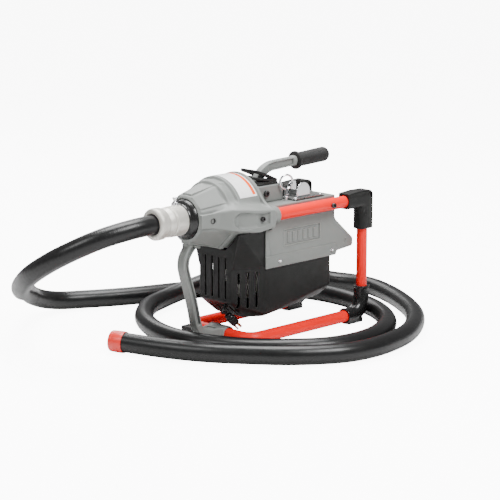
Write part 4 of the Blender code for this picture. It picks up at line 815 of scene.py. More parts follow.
def make_lever():
    grid = Grid((0.094, -0.0312, 0.2950), (0.2480, 0.0312, 0.4090), 0.0009)
    route = [(PIVOT_X, PIVOT_Z, 0.0112), (0.1180, 0.3600, 0.0108), (0.1400, 0.3825, 0.0106),
             (0.1620, 0.3912, 0.0108), (0.1900, 0.3932, 0.0110), (0.2180, 0.3944, 0.0106),
             (0.2470, 0.3955, 0.0102)]
    line = [tuple(p) for p in smooth_line(route, 5)]
    body = prism(grid, "XZ", offset_line(line, 0.0), -0.0090, 0.0090, 0.0028)
    web = offset_line([p for p in line if 0.150 < p[0] < 0.238], -0.0040)
    body = take_away(body, prism(grid, "XZ", web, 0.0050, 0.030), 0.0022)
    body = take_away(body, prism(grid, "XZ", web, -0.030, -0.0050), 0.0022)
    body = blend_min(body, drum(grid, "X", (0.0, 0.3953), 0.0128, 0.2375, 0.2468, 0.002), 0.003)
    body = blend_min(body, drum(grid, "Y", (PIVOT_X, PIVOT_Z), 0.0110, -0.031, 0.031, 0.0015), 0.003)
    for side in (-1, 1):
        prong = convex(grid, [(x, side * y, z) for y in (0.0240, 0.0300) for x, z in (
            (PIVOT_X - 0.0090, PIVOT_Z), (PIVOT_X + 0.0080, PIVOT_Z), (0.0985, 0.3040),
            (0.1065, 0.2960), (0.0992, 0.2960))], 0.0015)
        body = blend_min(body, prong, 0.002)
    body = take_away(body, drum(grid, "Y", (PIVOT_X, PIVOT_Z), 0.0050, -0.05, 0.05))
    arm = skin("lever_arm", grid, body, "grey_paint")
    settle(arm, "lever", "grey_paint", "clutch_lever")
    rod = sweep("lever_rod", [(0.2460, 0, 0.3955), (0.2800, 0, 0.3969), (0.3500, 0, 0.4000)],
                0.0095, "grey_paint", 40)
    settle(rod, "lever", "grey_paint")

    # The grip is a moulded rubber sleeve with fine ribs between its collar and its round end.
    lean = Matrix.Translation((0.2475, 0, 0.39553)) @ Matrix.Rotation(-math.atan2(0.0048, 0.110), 4, "Y")
    place = lean @ AXIS_TURN["X"]
    ridge = []
    count = 46
    for index in range(count):
        along = 0.0105 + 0.0860 * index / count
        base = 0.0171 + 0.0007 * (along / 0.0965)
        pitch = 0.0860 / count
        ridge += [(along, base - 0.00030), (along + pitch * 0.30, base), (along + pitch * 0.70, base)]
    outside = ([(0.0, 0.0098), (0.0, 0.0196)] + [(0.0 + 0.0006 * k, 0.0208 + 0.0004 * k) for k in (1, 2)]
               + [(0.0030, 0.0218), (0.0056, 0.0217), (0.0066, 0.0208), (0.0075, 0.0183), (0.0090, 0.0173)]
               + ridge)
    end = [(0.0968, 0.0179)] + [(0.0968 + 0.0150 * math.sin(math.radians(a)),
                                 0.0179 * math.cos(math.radians(a)) ** 0.75) for a in range(12, 86, 8)]
    sections = outside + end + [(0.1120, 0.0012), (0.1120, 0.0004)]
    bore = [(0.1040, 0.0004), (0.1040, 0.0098)]
    grip = rings("grip_sleeve", sections + bore, place, "soft_black", 72, closed=True)
    settle(grip, "lever", "soft_black", "lever_grip")


def make_bracket_and_bellows():
    # The casting runs forward to the belt cover and shelters the front bearing.
    grid = Grid((0.0608, -0.0430, DECK_Z), (0.1660, 0.0430, 0.3560), 0.0010)
    body = block(grid, (0.0608, -0.0430, DECK_Z + 0.0004), (0.1660, 0.0430, 0.3560), 0.0026)
    for side in (-1, 1):
        body = blend_min(body, drum(grid, "Y", (PIVOT_X, PIVOT_Z), 0.0090, min(side * 0.038, side * 0.0434),
                                    max(side * 0.038, side * 0.0434), 0.0006), 0.0015)
    body = take_away(body, block(grid, (0.0930, -0.0330, 0.300), (0.1610, 0.0330, 0.370), 0.002))
    body = take_away(body, block(grid, (0.0500, -0.0352, 0.300), (0.0950, 0.0352, 0.3395), 0.001))
    body = take_away(body, drum(grid, "X", SPINDLE, 0.0182, 0.135, 0.185))
    body = take_away(body, drum(grid, "Y", (PIVOT_X, PIVOT_Z), 0.0045, -0.06, 0.06))
    cast("bracket_casting", grid, body, "grey_paint", "lever_bracket")
    cap_screw("pivot_bolt_head", (PIVOT_X, -0.0437, PIVOT_Z), (0, -1, 0), 0.0072, 0.0070, "black_steel",
              nodes=("lever_pivot_bolt",), length=0.0900)

    # Three soft leaves fan out from one rear edge, with round corners in front.
    grid = Grid((0.0885, -0.0400, 0.3560), (0.1560, 0.0400, 0.3960), 0.0007)
    plan = []
    for y, start in ((0.0370 - 0.0220, 90), (-0.0370 + 0.0220, 180)):
        plan += arc((0.0, y), 0.0220, start, start + 90, 8)
    body = block(grid, (0.0910, -0.0372, 0.3564), (0.1545, 0.0372, 0.3604), 0.0016)
    for tip, (tip_x, tip_z), (mid_x, mid_z), root_z in (
            (0.0024, (0.0925, 0.3612), (0.1200, 0.3612), 0.3606),
            (0.0028, (0.0935, 0.3720), (0.1180, 0.3682), 0.3632),
            (0.0034, (0.0945, 0.3888), (0.1180, 0.3800), 0.3662)):
        knots = smooth_line([(tip_x, 0.0, tip_z), (mid_x, 0.0, mid_z), (0.1505, 0.0, root_z)], 5)
        flat = None
        for index, (first, second) in enumerate(zip(knots, knots[1:])):
            thick = tip + (0.0022 - tip) * index / len(knots)
            ex, ez = second.x - first.x, second.z - first.z
            wx, wz = grid.x - first.x, grid.z - first.z
            share = np.clip((wx * ex + wz * ez) / (ex * ex + ez * ez), 0, 1)
            away = np.sqrt((wx - ex * share) ** 2 + (wz - ez * share) ** 2) - thick
            flat = away if flat is None else np.minimum(flat, away)
        shape = polygon(grid.x - tip_x - 0.0200, grid.y, plan + [(0.080, -0.0370), (0.080, 0.0370)])
        body = blend_min(body, blend_max(flat + 0 * grid.y, shape + 0 * grid.z, 0.0022), 0.0010)
    body = take_away(body, block(grid, (0.1028, -0.0122, 0.330), (0.180, 0.0122, 0.440), 0.003), 0.001)
    cast("bellows_leaves", grid, body, "soft_black", "lever_bellows")


# ---------------------------------------------------------------- drive cover
def cover_outline(wall, open_below):
    foot = 0.172 - (0.030 if open_below else 0.0)
    front = 0.068 - (0.030 if open_below else 0.0)
    upper_front = 0.0865 - (0.040 if open_below else 0.0)
    side_front = 0.262 if not open_below else 0.200
    tail = 0.180 if not open_below else foot
    return [
        (front, foot), (0.3055 - wall, foot), (0.3095 - wall, tail),
        (0.3600 - wall, 0.1845 + wall), (0.3645 - wall, 0.1890 + wall * 0.6), (0.3645 - wall, 0.2030),
        (0.3615 - wall, 0.2075 - wall * 0.6), (0.3040 - wall, 0.2570 - wall * 0.6), (0.3000 - wall, 0.2650),
        (0.3000 - wall, DECK_Z - wall), (upper_front, DECK_Z - wall), (upper_front, side_front),
        (front, side_front)]


def make_drive_cover():
    grid = Grid((0.0607, -0.0862, 0.1710), (0.3650, 0.0862, DECK_Z), 0.00120)
    half, wall = COVER_HALF, COVER_WALL
    body = prism(grid, "XZ", cover_outline(0.0, False), -half, half, 0.0024)
    for side in (-1, 1):
        low, high = sorted((side * 0.0800, side * 0.0856))
        strip = prism(grid, "XZ", [(0.0672, 0.1715), (0.3032, 0.1715), (0.3066, 0.1810), (0.3045, 0.2005),
                                   (0.0672, 0.2005)], low, high, 0.0010)
        body = blend_min(body, strip, 0.0006)
    tunnel = lathe(grid, "X", CENTRE, ((0.284, 0.0), (0.284, 0.0180), (0.276, 0.0215),
                                                 (0.168, 0.0215), (0.168, 0.0)))
    body = blend_min(body, tunnel, 0.0015)
    # The deck runs on to the belt cover, between the two rail lugs.
    body = blend_min(body, block(grid, (0.0607, -0.0775, 0.2610), (0.0900, 0.0775, DECK_Z), 0.0020), 0.001)
    body = take_away(body, block(grid, (0.0500, -0.0742, 0.2500), (0.0935, 0.0742, DECK_Z - wall), 0.001))
    body = take_away(body, prism(grid, "XZ", cover_outline(wall, True), -(half - wall), half - wall, 0.001))
    # The side panel: a raised frame, a sunken field and six plain upright ribs.
    for side in (-1, 1):
        low, high = sorted((side * 0.0800, side * 0.0852))
        rim = block(grid, (0.1245, low, 0.2162), (0.2500, high, 0.2578), 0.0010)
        body = blend_min(body, rim, 0.0010)
        low, high = sorted((side * (half - 0.0018), side * 0.0900))
        field = block(grid, (0.1275, low, 0.2192), (0.2470, high, 0.2548), 0.0008)
        body = take_away(body, field, 0.0006)
        for index in range(6):
            x = 0.1435 + 0.0175 * index
            low, high = sorted((side * (half - 0.0028), side * (half + 0.0006)))
            rib = block(grid, (x - 0.0047, low, 0.2252), (x + 0.0047, high, 0.2488), 0.0010)
            body = blend_min(body, rib, 0.0008)
        dent = drum(grid, "Y", (0.3380, 0.2012), 0.0042, side * 0.0835 - 0.0012, side * 0.0835 + 0.0012)
        body = take_away(body, dent, 0.0016)
        # A slanting web folds the front lower corner.
        low, high = sorted((side * (half - 0.0010), side * 0.0900))
        fold = prism(grid, "XZ", [(0.0600, 0.2010), (0.0850, 0.2010), (0.0720, 0.2620), (0.0600, 0.2620)],
                     low, high)
        body = take_away(body, fold, 0.0008)
    body = take_away(body, drum(grid, "X", SPINDLE, 0.0186, 0.1295, 0.2805))
    body = take_away(body, drum(grid, "X", SPINDLE, 0.0142, 0.270, 0.340))
    body = take_away(body, block(grid, (0.060, -0.033, 0.290), (0.140, 0.033, 0.340), 0.002))
    body = take_away(body, drum(grid, "Z", KEY_AT, 0.0050, 0.29, 0.34))
    body = take_away(body, drum(grid, "Z", TOGGLE_AT, 0.0090, 0.29, 0.34))
    for side in (-1, 1):
        for x in (0.110, 0.287):
            body = take_away(body, drum(grid, "Y", (x, 0.1855), 0.0022, side * 0.082 - 0.01,
                                        side * 0.082 + 0.01))
    cast("cover_shell", grid, body, "grey_paint", "drive_cover")


# ---------------------------------------------------------------- motor shroud
def shroud_points(inset):
    front, rear = -0.014 + inset, 0.290 - (inset if inset else 0.0)
    half = 0.0800 - inset
    bottom = 0.056 + inset
    top = 0.205 if inset == 0 else 0.260
    rise = 0.1000 + inset
    points = []
    for side in (-1, 1):
        points += [(front, side * (0.055 - inset * 0.5), 0.098 + inset * 0.6),
                   (0.034 + inset, side * 0.044, bottom),
                   (0.068, side * (half - 0.006), bottom + 0.001),
                   (rear, side * (half - 0.036), bottom + 0.014),
                   (rear, side * half, rise), (0.070, side * half, bottom + 0.008),
                   (rear, side * half, top), (0.068, side * half, top),
                   (front, side * (0.055 - inset * 0.5), top)]
    return points


def make_motor_shroud():
    grid = Grid((-0.0145, -0.0802, 0.0555), (0.2905, 0.0802, 0.2625), 0.00140)
    front = -0.014
    body = convex(grid, shroud_points(0.0), 0.0045)
    # Above the corner facets the shroud fills out to a square front corner, right up to the casting.
    body = blend_min(body, convex(grid, [(x, side * y, z) for side in (-1, 1) for x, y, z in (
        (front, 0.040, 0.160), (front, 0.055, 0.1785), (0.068, 0.0795, 0.1738), (0.090, 0.0795, 0.1738),
        (0.090, 0.040, 0.160), (front, 0.0795, 0.2630), (0.0665, 0.0795, 0.2630))], 0.0009), 0.0006)
    body = take_away(body, convex(grid, shroud_points(0.0030), 0.003))
    body = take_away(body, convex(grid, [(x, side * y, z) for side in (-1, 1) for x, y, z in (
        (front + 0.003, 0.036, 0.160), (front + 0.003, 0.050, 0.1845), (0.072, 0.0765, 0.1798),
        (0.090, 0.0765, 0.1798), (0.090, 0.036, 0.160), (front + 0.003, 0.0765, 0.2650),
        (front + 0.003, 0.0765, 0.280), (0.080, 0.0765, 0.280))]))
    body = take_away(body, convex(grid, nose_section(-0.0500, 0.0770) + nose_section(-0.0250, 0.0805)
                                  + nose_section(0.0225, 0.0812)))
    body = take_away(body, block(grid, (-0.040, -0.13, 0.2625), (0.030, 0.13, 0.330)))
    for y in (-0.033, -0.011, 0.011, 0.033):
        for near, bottom, far, top in ((-0.010, 0.106, 0.010, 0.202), (0.012, 0.050, 0.036, 0.0905)):
            slot = block(grid, (front + near, y - 0.0023, bottom), (front + far, y + 0.0023, top), 0.0012)
            body = take_away(body, slot, 0.0008)
    for side in (-1, 1):
        for share in (0.22, 0.49, 0.76):
            x = front + (0.068 - front) * share
            y = side * (0.055 + 0.025 * share)
            slot = block(grid, (x - 0.0026, y - 0.012, 0.084), (x + 0.0026, y + 0.012, 0.1670), 0.0012)
            body = take_away(body, slot, 0.0008)
    body = take_away(body, pipe(grid, [(-0.0186, -0.0220, 0.0690), (0.0080, -0.0220, 0.0992)], 0.0046))
    cast("shroud_shell", grid, body, "black_plastic", "motor_shroud")


# ---------------------------------------------------------------- frame tubes, elbows and feet
def make_frame():
    half = RAIL_Y
    corner = arc((0.030, half - 0.030), 0.030, 90, 180, 14)
    side = [(x, y, LOWER_RAIL_Z) for x, y in corner]
    start, end = (LOWER_MOUTH_X + 0.020, half, LOWER_RAIL_Z), (LOWER_MOUTH_X + 0.020, -half, LOWER_RAIL_Z)
    points = [start] + side + [(x, -y, z) for x, y, z in reversed(side)] + [end]
    line = even_line(points, 0.004)
    settle(sweep("lower_tube", line, RAIL_RADIUS, "red_paint", 56, RAIL_RADIUS - TUBE_WALL), "machine",
           "red_paint", "lower_frame_tube")
    for label, side in SIDES:
        y = side * RAIL_Y
        rail = even_line([(0.021, y, UPPER_RAIL_Z), (UPPER_MOUTH_X + 0.022, y, UPPER_RAIL_Z)], 0.02)
        settle(sweep("upper_tube_" + label, rail, RAIL_RADIUS, "red_paint", 56, RAIL_RADIUS - TUBE_WALL),
               "machine", "red_paint", "upper_rail_" + label)
        post = even_line([(POST_X, y, LOWER_MOUTH_Z - 0.020), (POST_X, y, UPPER_MOUTH_Z + 0.025)], 0.02)
        settle(sweep("post_tube_" + label, post, POST_RADIUS, "red_paint", 52, POST_RADIUS - TUBE_WALL),
               "machine", "red_paint", "rear_post_" + label)


def make_upper_elbow(label, side):
    y = side * RAIL_Y
    grid = Grid((0.3125, y - 0.0190, 0.2275), (0.3995, y + 0.0190, 0.3230), 0.0009)
    inner = arc((0.330, 0.252), 0.030, 90, 0, 8)
    outline = [(UPPER_MOUTH_X, 0.282)] + inner + [(0.360, UPPER_MOUTH_Z), (0.399, UPPER_MOUTH_Z),
               (0.399, 0.306)] + arc((0.386, 0.309), 0.013, 10, 80, 5) + [
               (0.350, 0.3225), (UPPER_MOUTH_X, 0.3195)]
    body = prism(grid, "XZ", outline, y - 0.0185, y + 0.0185, 0.0040)
    # Outside the two sockets the block is trimmed towards round.
    throat = blend_min(drum(grid, "X", (y, UPPER_RAIL_Z), 0.0215, 0.300, 0.372, 0.002),
                       drum(grid, "Z", (POST_X, y), 0.0205, 0.220, 0.312, 0.002), 0.006)
    crown = prism(grid, "XZ", [(UPPER_MOUTH_X, 0.300), (0.399, 0.300), (0.399, 0.330),
                               (UPPER_MOUTH_X, 0.330)], y - 0.0185, y + 0.0185, 0.003)
    outer = prism(grid, "XZ", [(0.379, 0.220), (0.399, 0.220), (0.399, 0.330), (0.379, 0.330)],
                  y - 0.0185, y + 0.0185, 0.003)
    body = blend_max(body, blend_min(throat, blend_min(crown, outer, 0.002), 0.002), 0.002)
    for face in (-1, 1):
        low, high = sorted((y + face * 0.0125, y + face * 0.030))
        pocket = prism(grid, "XZ", [(0.3815, 0.3180), (0.3958, 0.3150), (0.3962, 0.2950)], low, high, 0.0008)
        body = take_away(body, pocket, 0.0008)
        dimple_y = y + face * 0.0212
        dimple = np.sqrt(((grid.x - 0.3690) / 0.55) ** 2 + (grid.z - 0.2690) ** 2
                         + ((grid.y - dimple_y) * 1.6) ** 2) - 0.0095
        body = take_away(body, dimple * 0.6, 0.0012)
    body = take_away(body, drum(grid, "X", (y, UPPER_RAIL_Z), RAIL_BORE, 0.300, 0.336))
    body = take_away(body, drum(grid, "Z", (POST_X, y), POST_BORE, 0.210, 0.254))
    cast("top_elbow_" + label, grid, body, "black_plastic", "upper_elbow_" + label)


def make_lower_elbow(label, side):
    y = side * RAIL_Y
    grid = Grid((0.3175, y - 0.0205, 0.0), (0.4000, y + 0.0205, 0.0885), 0.0009)
    bend = arc((POST_X - 0.046, LOWER_RAIL_Z + 0.046), 0.046, -90, 0, 12)
    points = [(0.300, y, LOWER_RAIL_Z)] + [(x, y, z) for x, z in bend] + [(POST_X, y, 0.110)]
    body = pipe(grid, points, 0.0182)
    body = blend_min(body, drum(grid, "Z", (POST_X, y), 0.0196, 0.0835, LOWER_MOUTH_Z + 0.0005, 0.0012),
                     0.002)
    body = blend_min(body, drum(grid, "X", (y, LOWER_RAIL_Z), 0.0192, LOWER_MOUTH_X, 0.3225, 0.0012), 0.002)
    keel = prism(grid, "XZ", [(0.372, 0.0035), (0.3985, 0.0220), (0.3985, 0.0830), (0.385, 0.0830),
                              (0.385, 0.050)], y - 0.0030, y + 0.0030, 0.0012)
    body = blend_min(body, keel, 0.004)
    body = blend_max(body, slab(grid, "Z", -0.01, LOWER_MOUTH_Z + 0.0005), 0.0005)
    body = blend_max(body, slab(grid, "X", LOWER_MOUTH_X - 0.0002, 0.410), 0.0005)
    body = blend_min(body, block(grid, (0.322, y - 0.013, 0.0), (0.372, y + 0.013, 0.013), 0.0022), 0.003)
    body = take_away(body, drum(grid, "X", (y, LOWER_RAIL_Z), RAIL_BORE, 0.300, 0.3390))
    body = take_away(body, drum(grid, "Z", (POST_X, y), POST_BORE, 0.066, 0.10))
    cast("floor_elbow_" + label, grid, body, "black_plastic", "lower_elbow_" + label, finish="gloss_black")


def make_front_foot(label, side):
    y = side * (RAIL_Y - 0.008)
    grid = Grid((-0.0215, y - 0.0215, 0.0), (0.0275, y + 0.0215, 0.0260), 0.0009)
    body = block(grid, (-0.0200, y - 0.0200, 0.0), (0.0260, y + 0.0200, 0.0200), 0.0035)
    step = block(grid, (-0.0130, y - 0.0130, 0.0), (0.0190, y + 0.0130, 0.0225), 0.003)
    body = blend_min(body, step, 0.002)
    corner = arc((0.030, RAIL_Y - 0.030), 0.030, 90, 180, 8)
    line = [(0.09, side * RAIL_Y, LOWER_RAIL_Z)] + [(px, side * py, LOWER_RAIL_Z) for px, py in corner]
    line += [(0.0, side * 0.03, LOWER_RAIL_Z)]
    body = take_away(body, pipe(grid, line, RAIL_RADIUS + 0.0003), 0.001)
    cast("foot_clip_" + label, grid, body, "soft_black", "rubber_foot_" + label)


# ---------------------------------------------------------------- hose, adapter and nose rubber
HOSE_ROUTE = (
    (-0.165, 0.000, 0.302), (-0.212, 0.000, 0.302), (-0.262, 0.005, 0.299),
    (-0.331, 0.035, 0.282), (-0.388, 0.103, 0.241), (-0.399, 0.183, 0.195),
    (-0.366, 0.265, 0.152), (-0.300, 0.355, 0.112), (-0.220, 0.432, 0.080),
    (-0.176, 0.468, 0.058), (-0.125, 0.486, 0.038), (-0.075, 0.486, 0.027),
    (-0.025, 0.469, 0.024), (0.045, 0.430, 0.024), (0.110, 0.401, 0.024),
    (0.205, 0.367, 0.024), (0.300, 0.322, 0.024), (0.375, 0.260, 0.024),
    (0.425, 0.190, 0.024), (0.450, 0.112, 0.024), (0.450, 0.010, 0.024),
    (0.417, -0.110, 0.024), (0.340, -0.218, 0.024), (0.240, -0.278, 0.024),
    (0.150, -0.295, 0.024), (0.065, -0.279, 0.024), (-0.010, -0.225, 0.024),
    (-0.066, -0.160, 0.024), (-0.101, -0.090, 0.024), (-0.120, -0.015, 0.024),
    (-0.116, 0.060, 0.024), (-0.090, 0.138, 0.024), (-0.045, 0.212, 0.024),
    (0.010, 0.268, 0.024), (0.062, 0.304, 0.024), (0.112, 0.320, 0.026),
    (0.165, 0.322, 0.034), (0.215, 0.312, 0.045), (0.270, 0.294, 0.059),
    (0.320, 0.276, 0.070), (0.370, 0.262, 0.074), (0.425, 0.254, 0.071),
    (0.480, 0.245, 0.057), (0.530, 0.219, 0.038), (0.572, 0.174, 0.026),
    (0.594, 0.118, 0.024), (0.592, 0.050, 0.024), (0.560, -0.036, 0.024),
    (0.507, -0.130, 0.024), (0.443, -0.214, 0.024), (0.366, -0.280, 0.024),
    (0.284, -0.326, 0.024), (0.205, -0.349, 0.024), (0.130, -0.356, 0.024),
    (0.060, -0.344, 0.024), (0.000, -0.310, 0.024), (-0.055, -0.263, 0.024),
    (-0.104, -0.203, 0.024), (-0.150, -0.140, 0.024), (-0.184, -0.075, 0.024),
    (-0.210, -0.010, 0.0245), (-0.232, 0.058, 0.0256), (-0.243, 0.090, 0.0262),
)


def turned(profile, radius, steps):
    """The same (along, out) profile with its corners rounded."""
    return [(along, out) for along, out, _ in rounded([(*point, 0) for point in profile], radius, steps)]


HOSE_RADIUS = 0.0226
HOSE_RIB = (0.0042, 0.00018)
HOSE_SPACING = 0.00105


def make_hose():
    line = even_line(smooth_line(HOSE_ROUTE), HOSE_SPACING)
    hose = sweep("ribbed_hose", line, HOSE_RADIUS, "hose_vinyl", 32, rib=HOSE_RIB)
    settle(hose, "machine", "hose_vinyl", "guide_hose")
    end, along = Vector(line[-1]), Vector(line[-1] - line[-18]).normalized()
    profile = ((0.0080, 0.0165), (0.0080, 0.0240), (0.0045, 0.0246), (-0.0030, 0.0246), (-0.0040, 0.0250),
               (-0.0220, 0.0250), (-0.0228, 0.0246), (-0.0260, 0.0246), (-0.0260, 0.0230),
               (0.0008, 0.0230), (0.0008, 0.0165))
    cuff = rings("hose_cuff", turned(profile, 0.0009, 2), toward(end, along), "red_plastic", 72,
                 closed=True)
    settle(cuff, "machine", "red_plastic", "hose_end_cap")


def make_adapter():
    grid = Grid((-0.2095, -0.0372, SPINDLE_Z - 0.0372), (-0.1262, 0.0372, SPINDLE_Z + 0.0400), 0.0009)
    body = lathe(grid, "X", CENTRE, (
        (-0.1264, 0.0), (-0.1264, 0.0346), (-0.1278, 0.0352), (-0.1585, 0.0352), (-0.1600, 0.0330),
        (-0.1615, 0.0334), (-0.1640, 0.0345), (-0.1660, 0.0346), (-0.1700, 0.0338), (-0.1790, 0.0312),
        (-0.1830, 0.0350), (-0.1880, 0.0364), (-0.2000, 0.0368), (-0.2050, 0.0360), (-0.2080, 0.0335),
        (-0.2092, 0.0300), (-0.2094, 0.0262), (-0.2094, 0.0)))
    body = body + 0.0002
    boss = drum(grid, "Z", PLUNGER_AT, 0.0078, SPINDLE_Z + 0.02, SPINDLE_Z + 0.0361, 0.0006)
    body = blend_min(body, boss, 0.0016)
    # A flat and a parting line on each side of the casting.
    for side in (-1, 1):
        body = take_away(body, block(grid, (-0.1800, side * 0.0370 - 0.0012, SPINDLE_Z - 0.012),
                                     (-0.1600, side * 0.0370 + 0.0012, SPINDLE_Z + 0.008), 0.0006), 0.0008)
    seam = blend_max(np.abs(grid.y) - 0.0006, body - 0.0004)
    body = blend_min(body, seam, 0.0006)
    bore = lathe(grid, "X", CENTRE, (
        (-0.10, 0.0), (-0.10, 0.0180), (-0.1580, 0.0180), (-0.1580, 0.0235), (-0.2070, 0.0235),
        (-0.2090, 0.0262), (-0.2200, 0.0280), (-0.2200, 0.0)))
    body = take_away(body, bore, 0.0004)
    body = take_away(body, drum(grid, "Z", PLUNGER_AT, 0.0060, SPINDLE_Z + 0.0361, SPINDLE_Z + 0.05))
    cast("adapter_casting", grid, body, "cast_metal", "hose_adapter")

    profile = ((-0.1030, 0.0460), (-0.1080, 0.0460), (-0.1120, 0.0448), (-0.1160, 0.0425),
               (-0.1195, 0.0395), (-0.1215, 0.0372), (-0.1235, 0.0362), (-0.1258, 0.0356),
               (-0.1258, 0.0180), (-0.1030, 0.0180))
    rubber = rings("bushing_ring", turned(profile, 0.0014, 3), on_axis(CENTRE, "X"), "soft_black", 96,
                   closed=True)
    rubber.data.materials[0] = MATERIALS["gloss_black"]
    settle(rubber, "machine", "soft_black", "nose_bushing")

    # The spring plunger: a six-sided collar under a waisted knob.
    sections = [(0.0362, hexagon(0.0060)), (0.0424, hexagon(0.0060)), (0.0430, 0.0056), (0.0440, 0.0046),
                (0.0462, 0.0041), (0.0476, 0.0042), (0.0488, 0.0050), (0.0500, 0.0059), (0.0512, 0.0063),
                (0.0526, 0.0061), (0.0535, 0.0053), (0.0539, 0.0040), (0.0540, 0.0004)]
    knob = rings("plunger_knob", sections, on_axis((*PLUNGER_AT, SPINDLE_Z), "Z"), "bright_steel", 48)
    settle(knob, "plunger", "bright_steel", "adapter_plunger")


# ---------------------------------------------------------------- deck: switch, guard and key
def make_switch():
    low, high = DECK_Z + 0.0004, DECK_Z + 0.0020
    grid = Grid((0.1700, -0.0800, low), (0.270, -0.0160, high + 0.0002), 0.0007)
    outline = [(0.1725, -0.0800), (0.2675, -0.0800), (0.2700, -0.0770), (0.2700, -0.0190), (0.2670, -0.0160),
               (0.1725, -0.0160), (0.1700, -0.0190), (0.1700, -0.0770)]
    body = prism(grid, "XY", outline, low, high, 0.0005)
    body = take_away(body, drum(grid, "Z", TOGGLE_AT, 0.0090, 0.29, 0.34))
    cast("deck_gasket", grid, body, "soft_black", "switch_gasket")

    grid = Grid((0.1725, -0.0765, high), (0.267, -0.0175, high + 0.0024), 0.0006)
    outline = (arc((0.2630, -0.0725), 0.004, -90, 0, 4) + arc((0.2630, -0.0215), 0.004, 0, 90, 4)
               + arc((0.1765, -0.0215), 0.004, 90, 180, 4) + arc((0.1765, -0.0725), 0.004, 180, 270, 4))
    body = prism(grid, "XY", outline, high + 0.0003, high + 0.0023, 0.0005)
    body = take_away(body, drum(grid, "Z", TOGGLE_AT, 0.0090, 0.29, 0.34))
    cast("deck_plate", grid, body, "zinc", "switch_plate")
    top = high + 0.0023
    for index, (x, y) in enumerate(((0.1775, -0.0715), (0.262, -0.0715), (0.262, -0.0220),
                                    (0.1775, -0.0220))):
        sections = [(-0.0004, 0.0036), (0.0006, 0.0037), (0.0016, 0.0033), (0.0024, 0.0024),
                    (0.0028, 0.0016), (0.0028, 0.0013), (0.0016, 0.0012), (0.0016, 0.0003)]
        head = rings("plate_rivet_" + str(index + 1), sections, on_axis((x, y, top), "Z"),
                     "bright_steel", 32)
        settle(head, "machine", "zinc")

    # The guard is bent from one sheet: a foot, a front wall and two half-round cheeks beside the toggle.
    top = high + 0.0026
    grid = Grid((0.1895, -0.0642, top), (0.2345, -0.0298, top + 0.0345), 0.0006)
    body = block(grid, (0.190, -0.0640, top), (0.234, -0.0300, top + 0.0016), 0.0004)
    front = block(grid, (0.190, -0.0640, top), (0.1916, -0.0300, top + 0.0180), 0.0005)
    body = blend_min(body, front, 0.001)
    outline = [(0.190, top), (0.234, top)] + arc((TOGGLE_AT[0], top + 0.012), 0.022, 0, 180, 24)
    for y in (-0.0640, -0.0316):
        body = blend_min(body, prism(grid, "XZ", outline, y, y + 0.0016, 0.0005), 0.0012)
    body = take_away(body, drum(grid, "Z", TOGGLE_AT, 0.0100, 0.29, top + 0.01))
    cast("guard_cheeks", grid, body, "bright_steel", "switch_guard")

    sections = [(-0.0080, 0.0058), (0.0105, 0.0058), (0.0118, 0.0056), (0.0130, 0.0050), (0.0180, 0.0046),
                (0.0260, 0.0048), (0.0340, 0.0055), (0.0375, 0.0057), (0.0395, 0.0050), (0.0406, 0.0034),
                (0.0410, 0.0010), (0.0410, 0.0003)]
    toggle = rings("toggle_bat", sections, on_axis((*TOGGLE_AT, top), "Z"), "black_plastic", 40)
    settle(toggle, "switch_toggle", "black_plastic", "toggle_switch")

    # The soft boot stands behind the guard with a row of low folds.
    grid = Grid((0.1815, -0.0288, top), (0.2565, -0.0157, top + 0.0245), 0.0007)
    outline = ([(0.1830, top), (0.2555, top), (0.2550, top + 0.0140)]
               + arc((0.2440, top + 0.0130), 0.0110, 10, 90, 5)
               + arc((0.1950, top + 0.0120), 0.0120, 90, 170, 5))
    body = prism(grid, "XZ", outline, -0.0283, -0.0162, 0.0030)
    folds = 0.0005 * np.cos((grid.z - top) / 0.0052 * math.tau)
    body = body + folds.astype(np.float32)
    hem = block(grid, (0.1818, -0.0286, top), (0.2562, -0.0159, top + 0.0030), 0.0008)
    body = blend_min(body, hem, 0.001)
    cast("boot_folds", grid, body, "soft_black", "switch_boot")


def make_key():
    stem = rings("key_stem", [(0.0, 0.0030), (0.0012, 0.0042), (0.0235, 0.0042), (0.0240, 0.0050),
                              (0.0262, 0.0052), (0.0270, 0.0046), (0.0300, 0.0044), (0.0400, 0.0040),
                              (0.0440, 0.0030), (0.0450, 0.0004)],
                 on_axis((*KEY_AT, 0.3000), "Z"), "bright_steel", 40)
    turn = Matrix.Translation((*KEY_AT, 0.3605)) @ Matrix.Rotation(math.radians(-18), 4, "Z")
    verts, faces = [], []
    for step in range(96):
        angle = math.tau * step / 96
        for around in range(20):
            small = math.tau * around / 20
            reach = 0.0165 + 0.0026 * math.cos(small)
            verts.append(turn @ Vector((reach * math.cos(angle), 0.0026 * math.sin(small),
                                        reach * math.sin(angle))))
            after, turned_on = (step + 1) % 96, (around + 1) % 20
            faces.append((step * 20 + around, step * 20 + turned_on, after * 20 + turned_on,
                          after * 20 + around))
    ring = link_mesh("key_ring", verts, faces, "bright_steel")
    fix_normals(ring.data)
    settle(stem, "key", "bright_steel", "coupling_key")
    settle(ring, "key", "bright_steel")


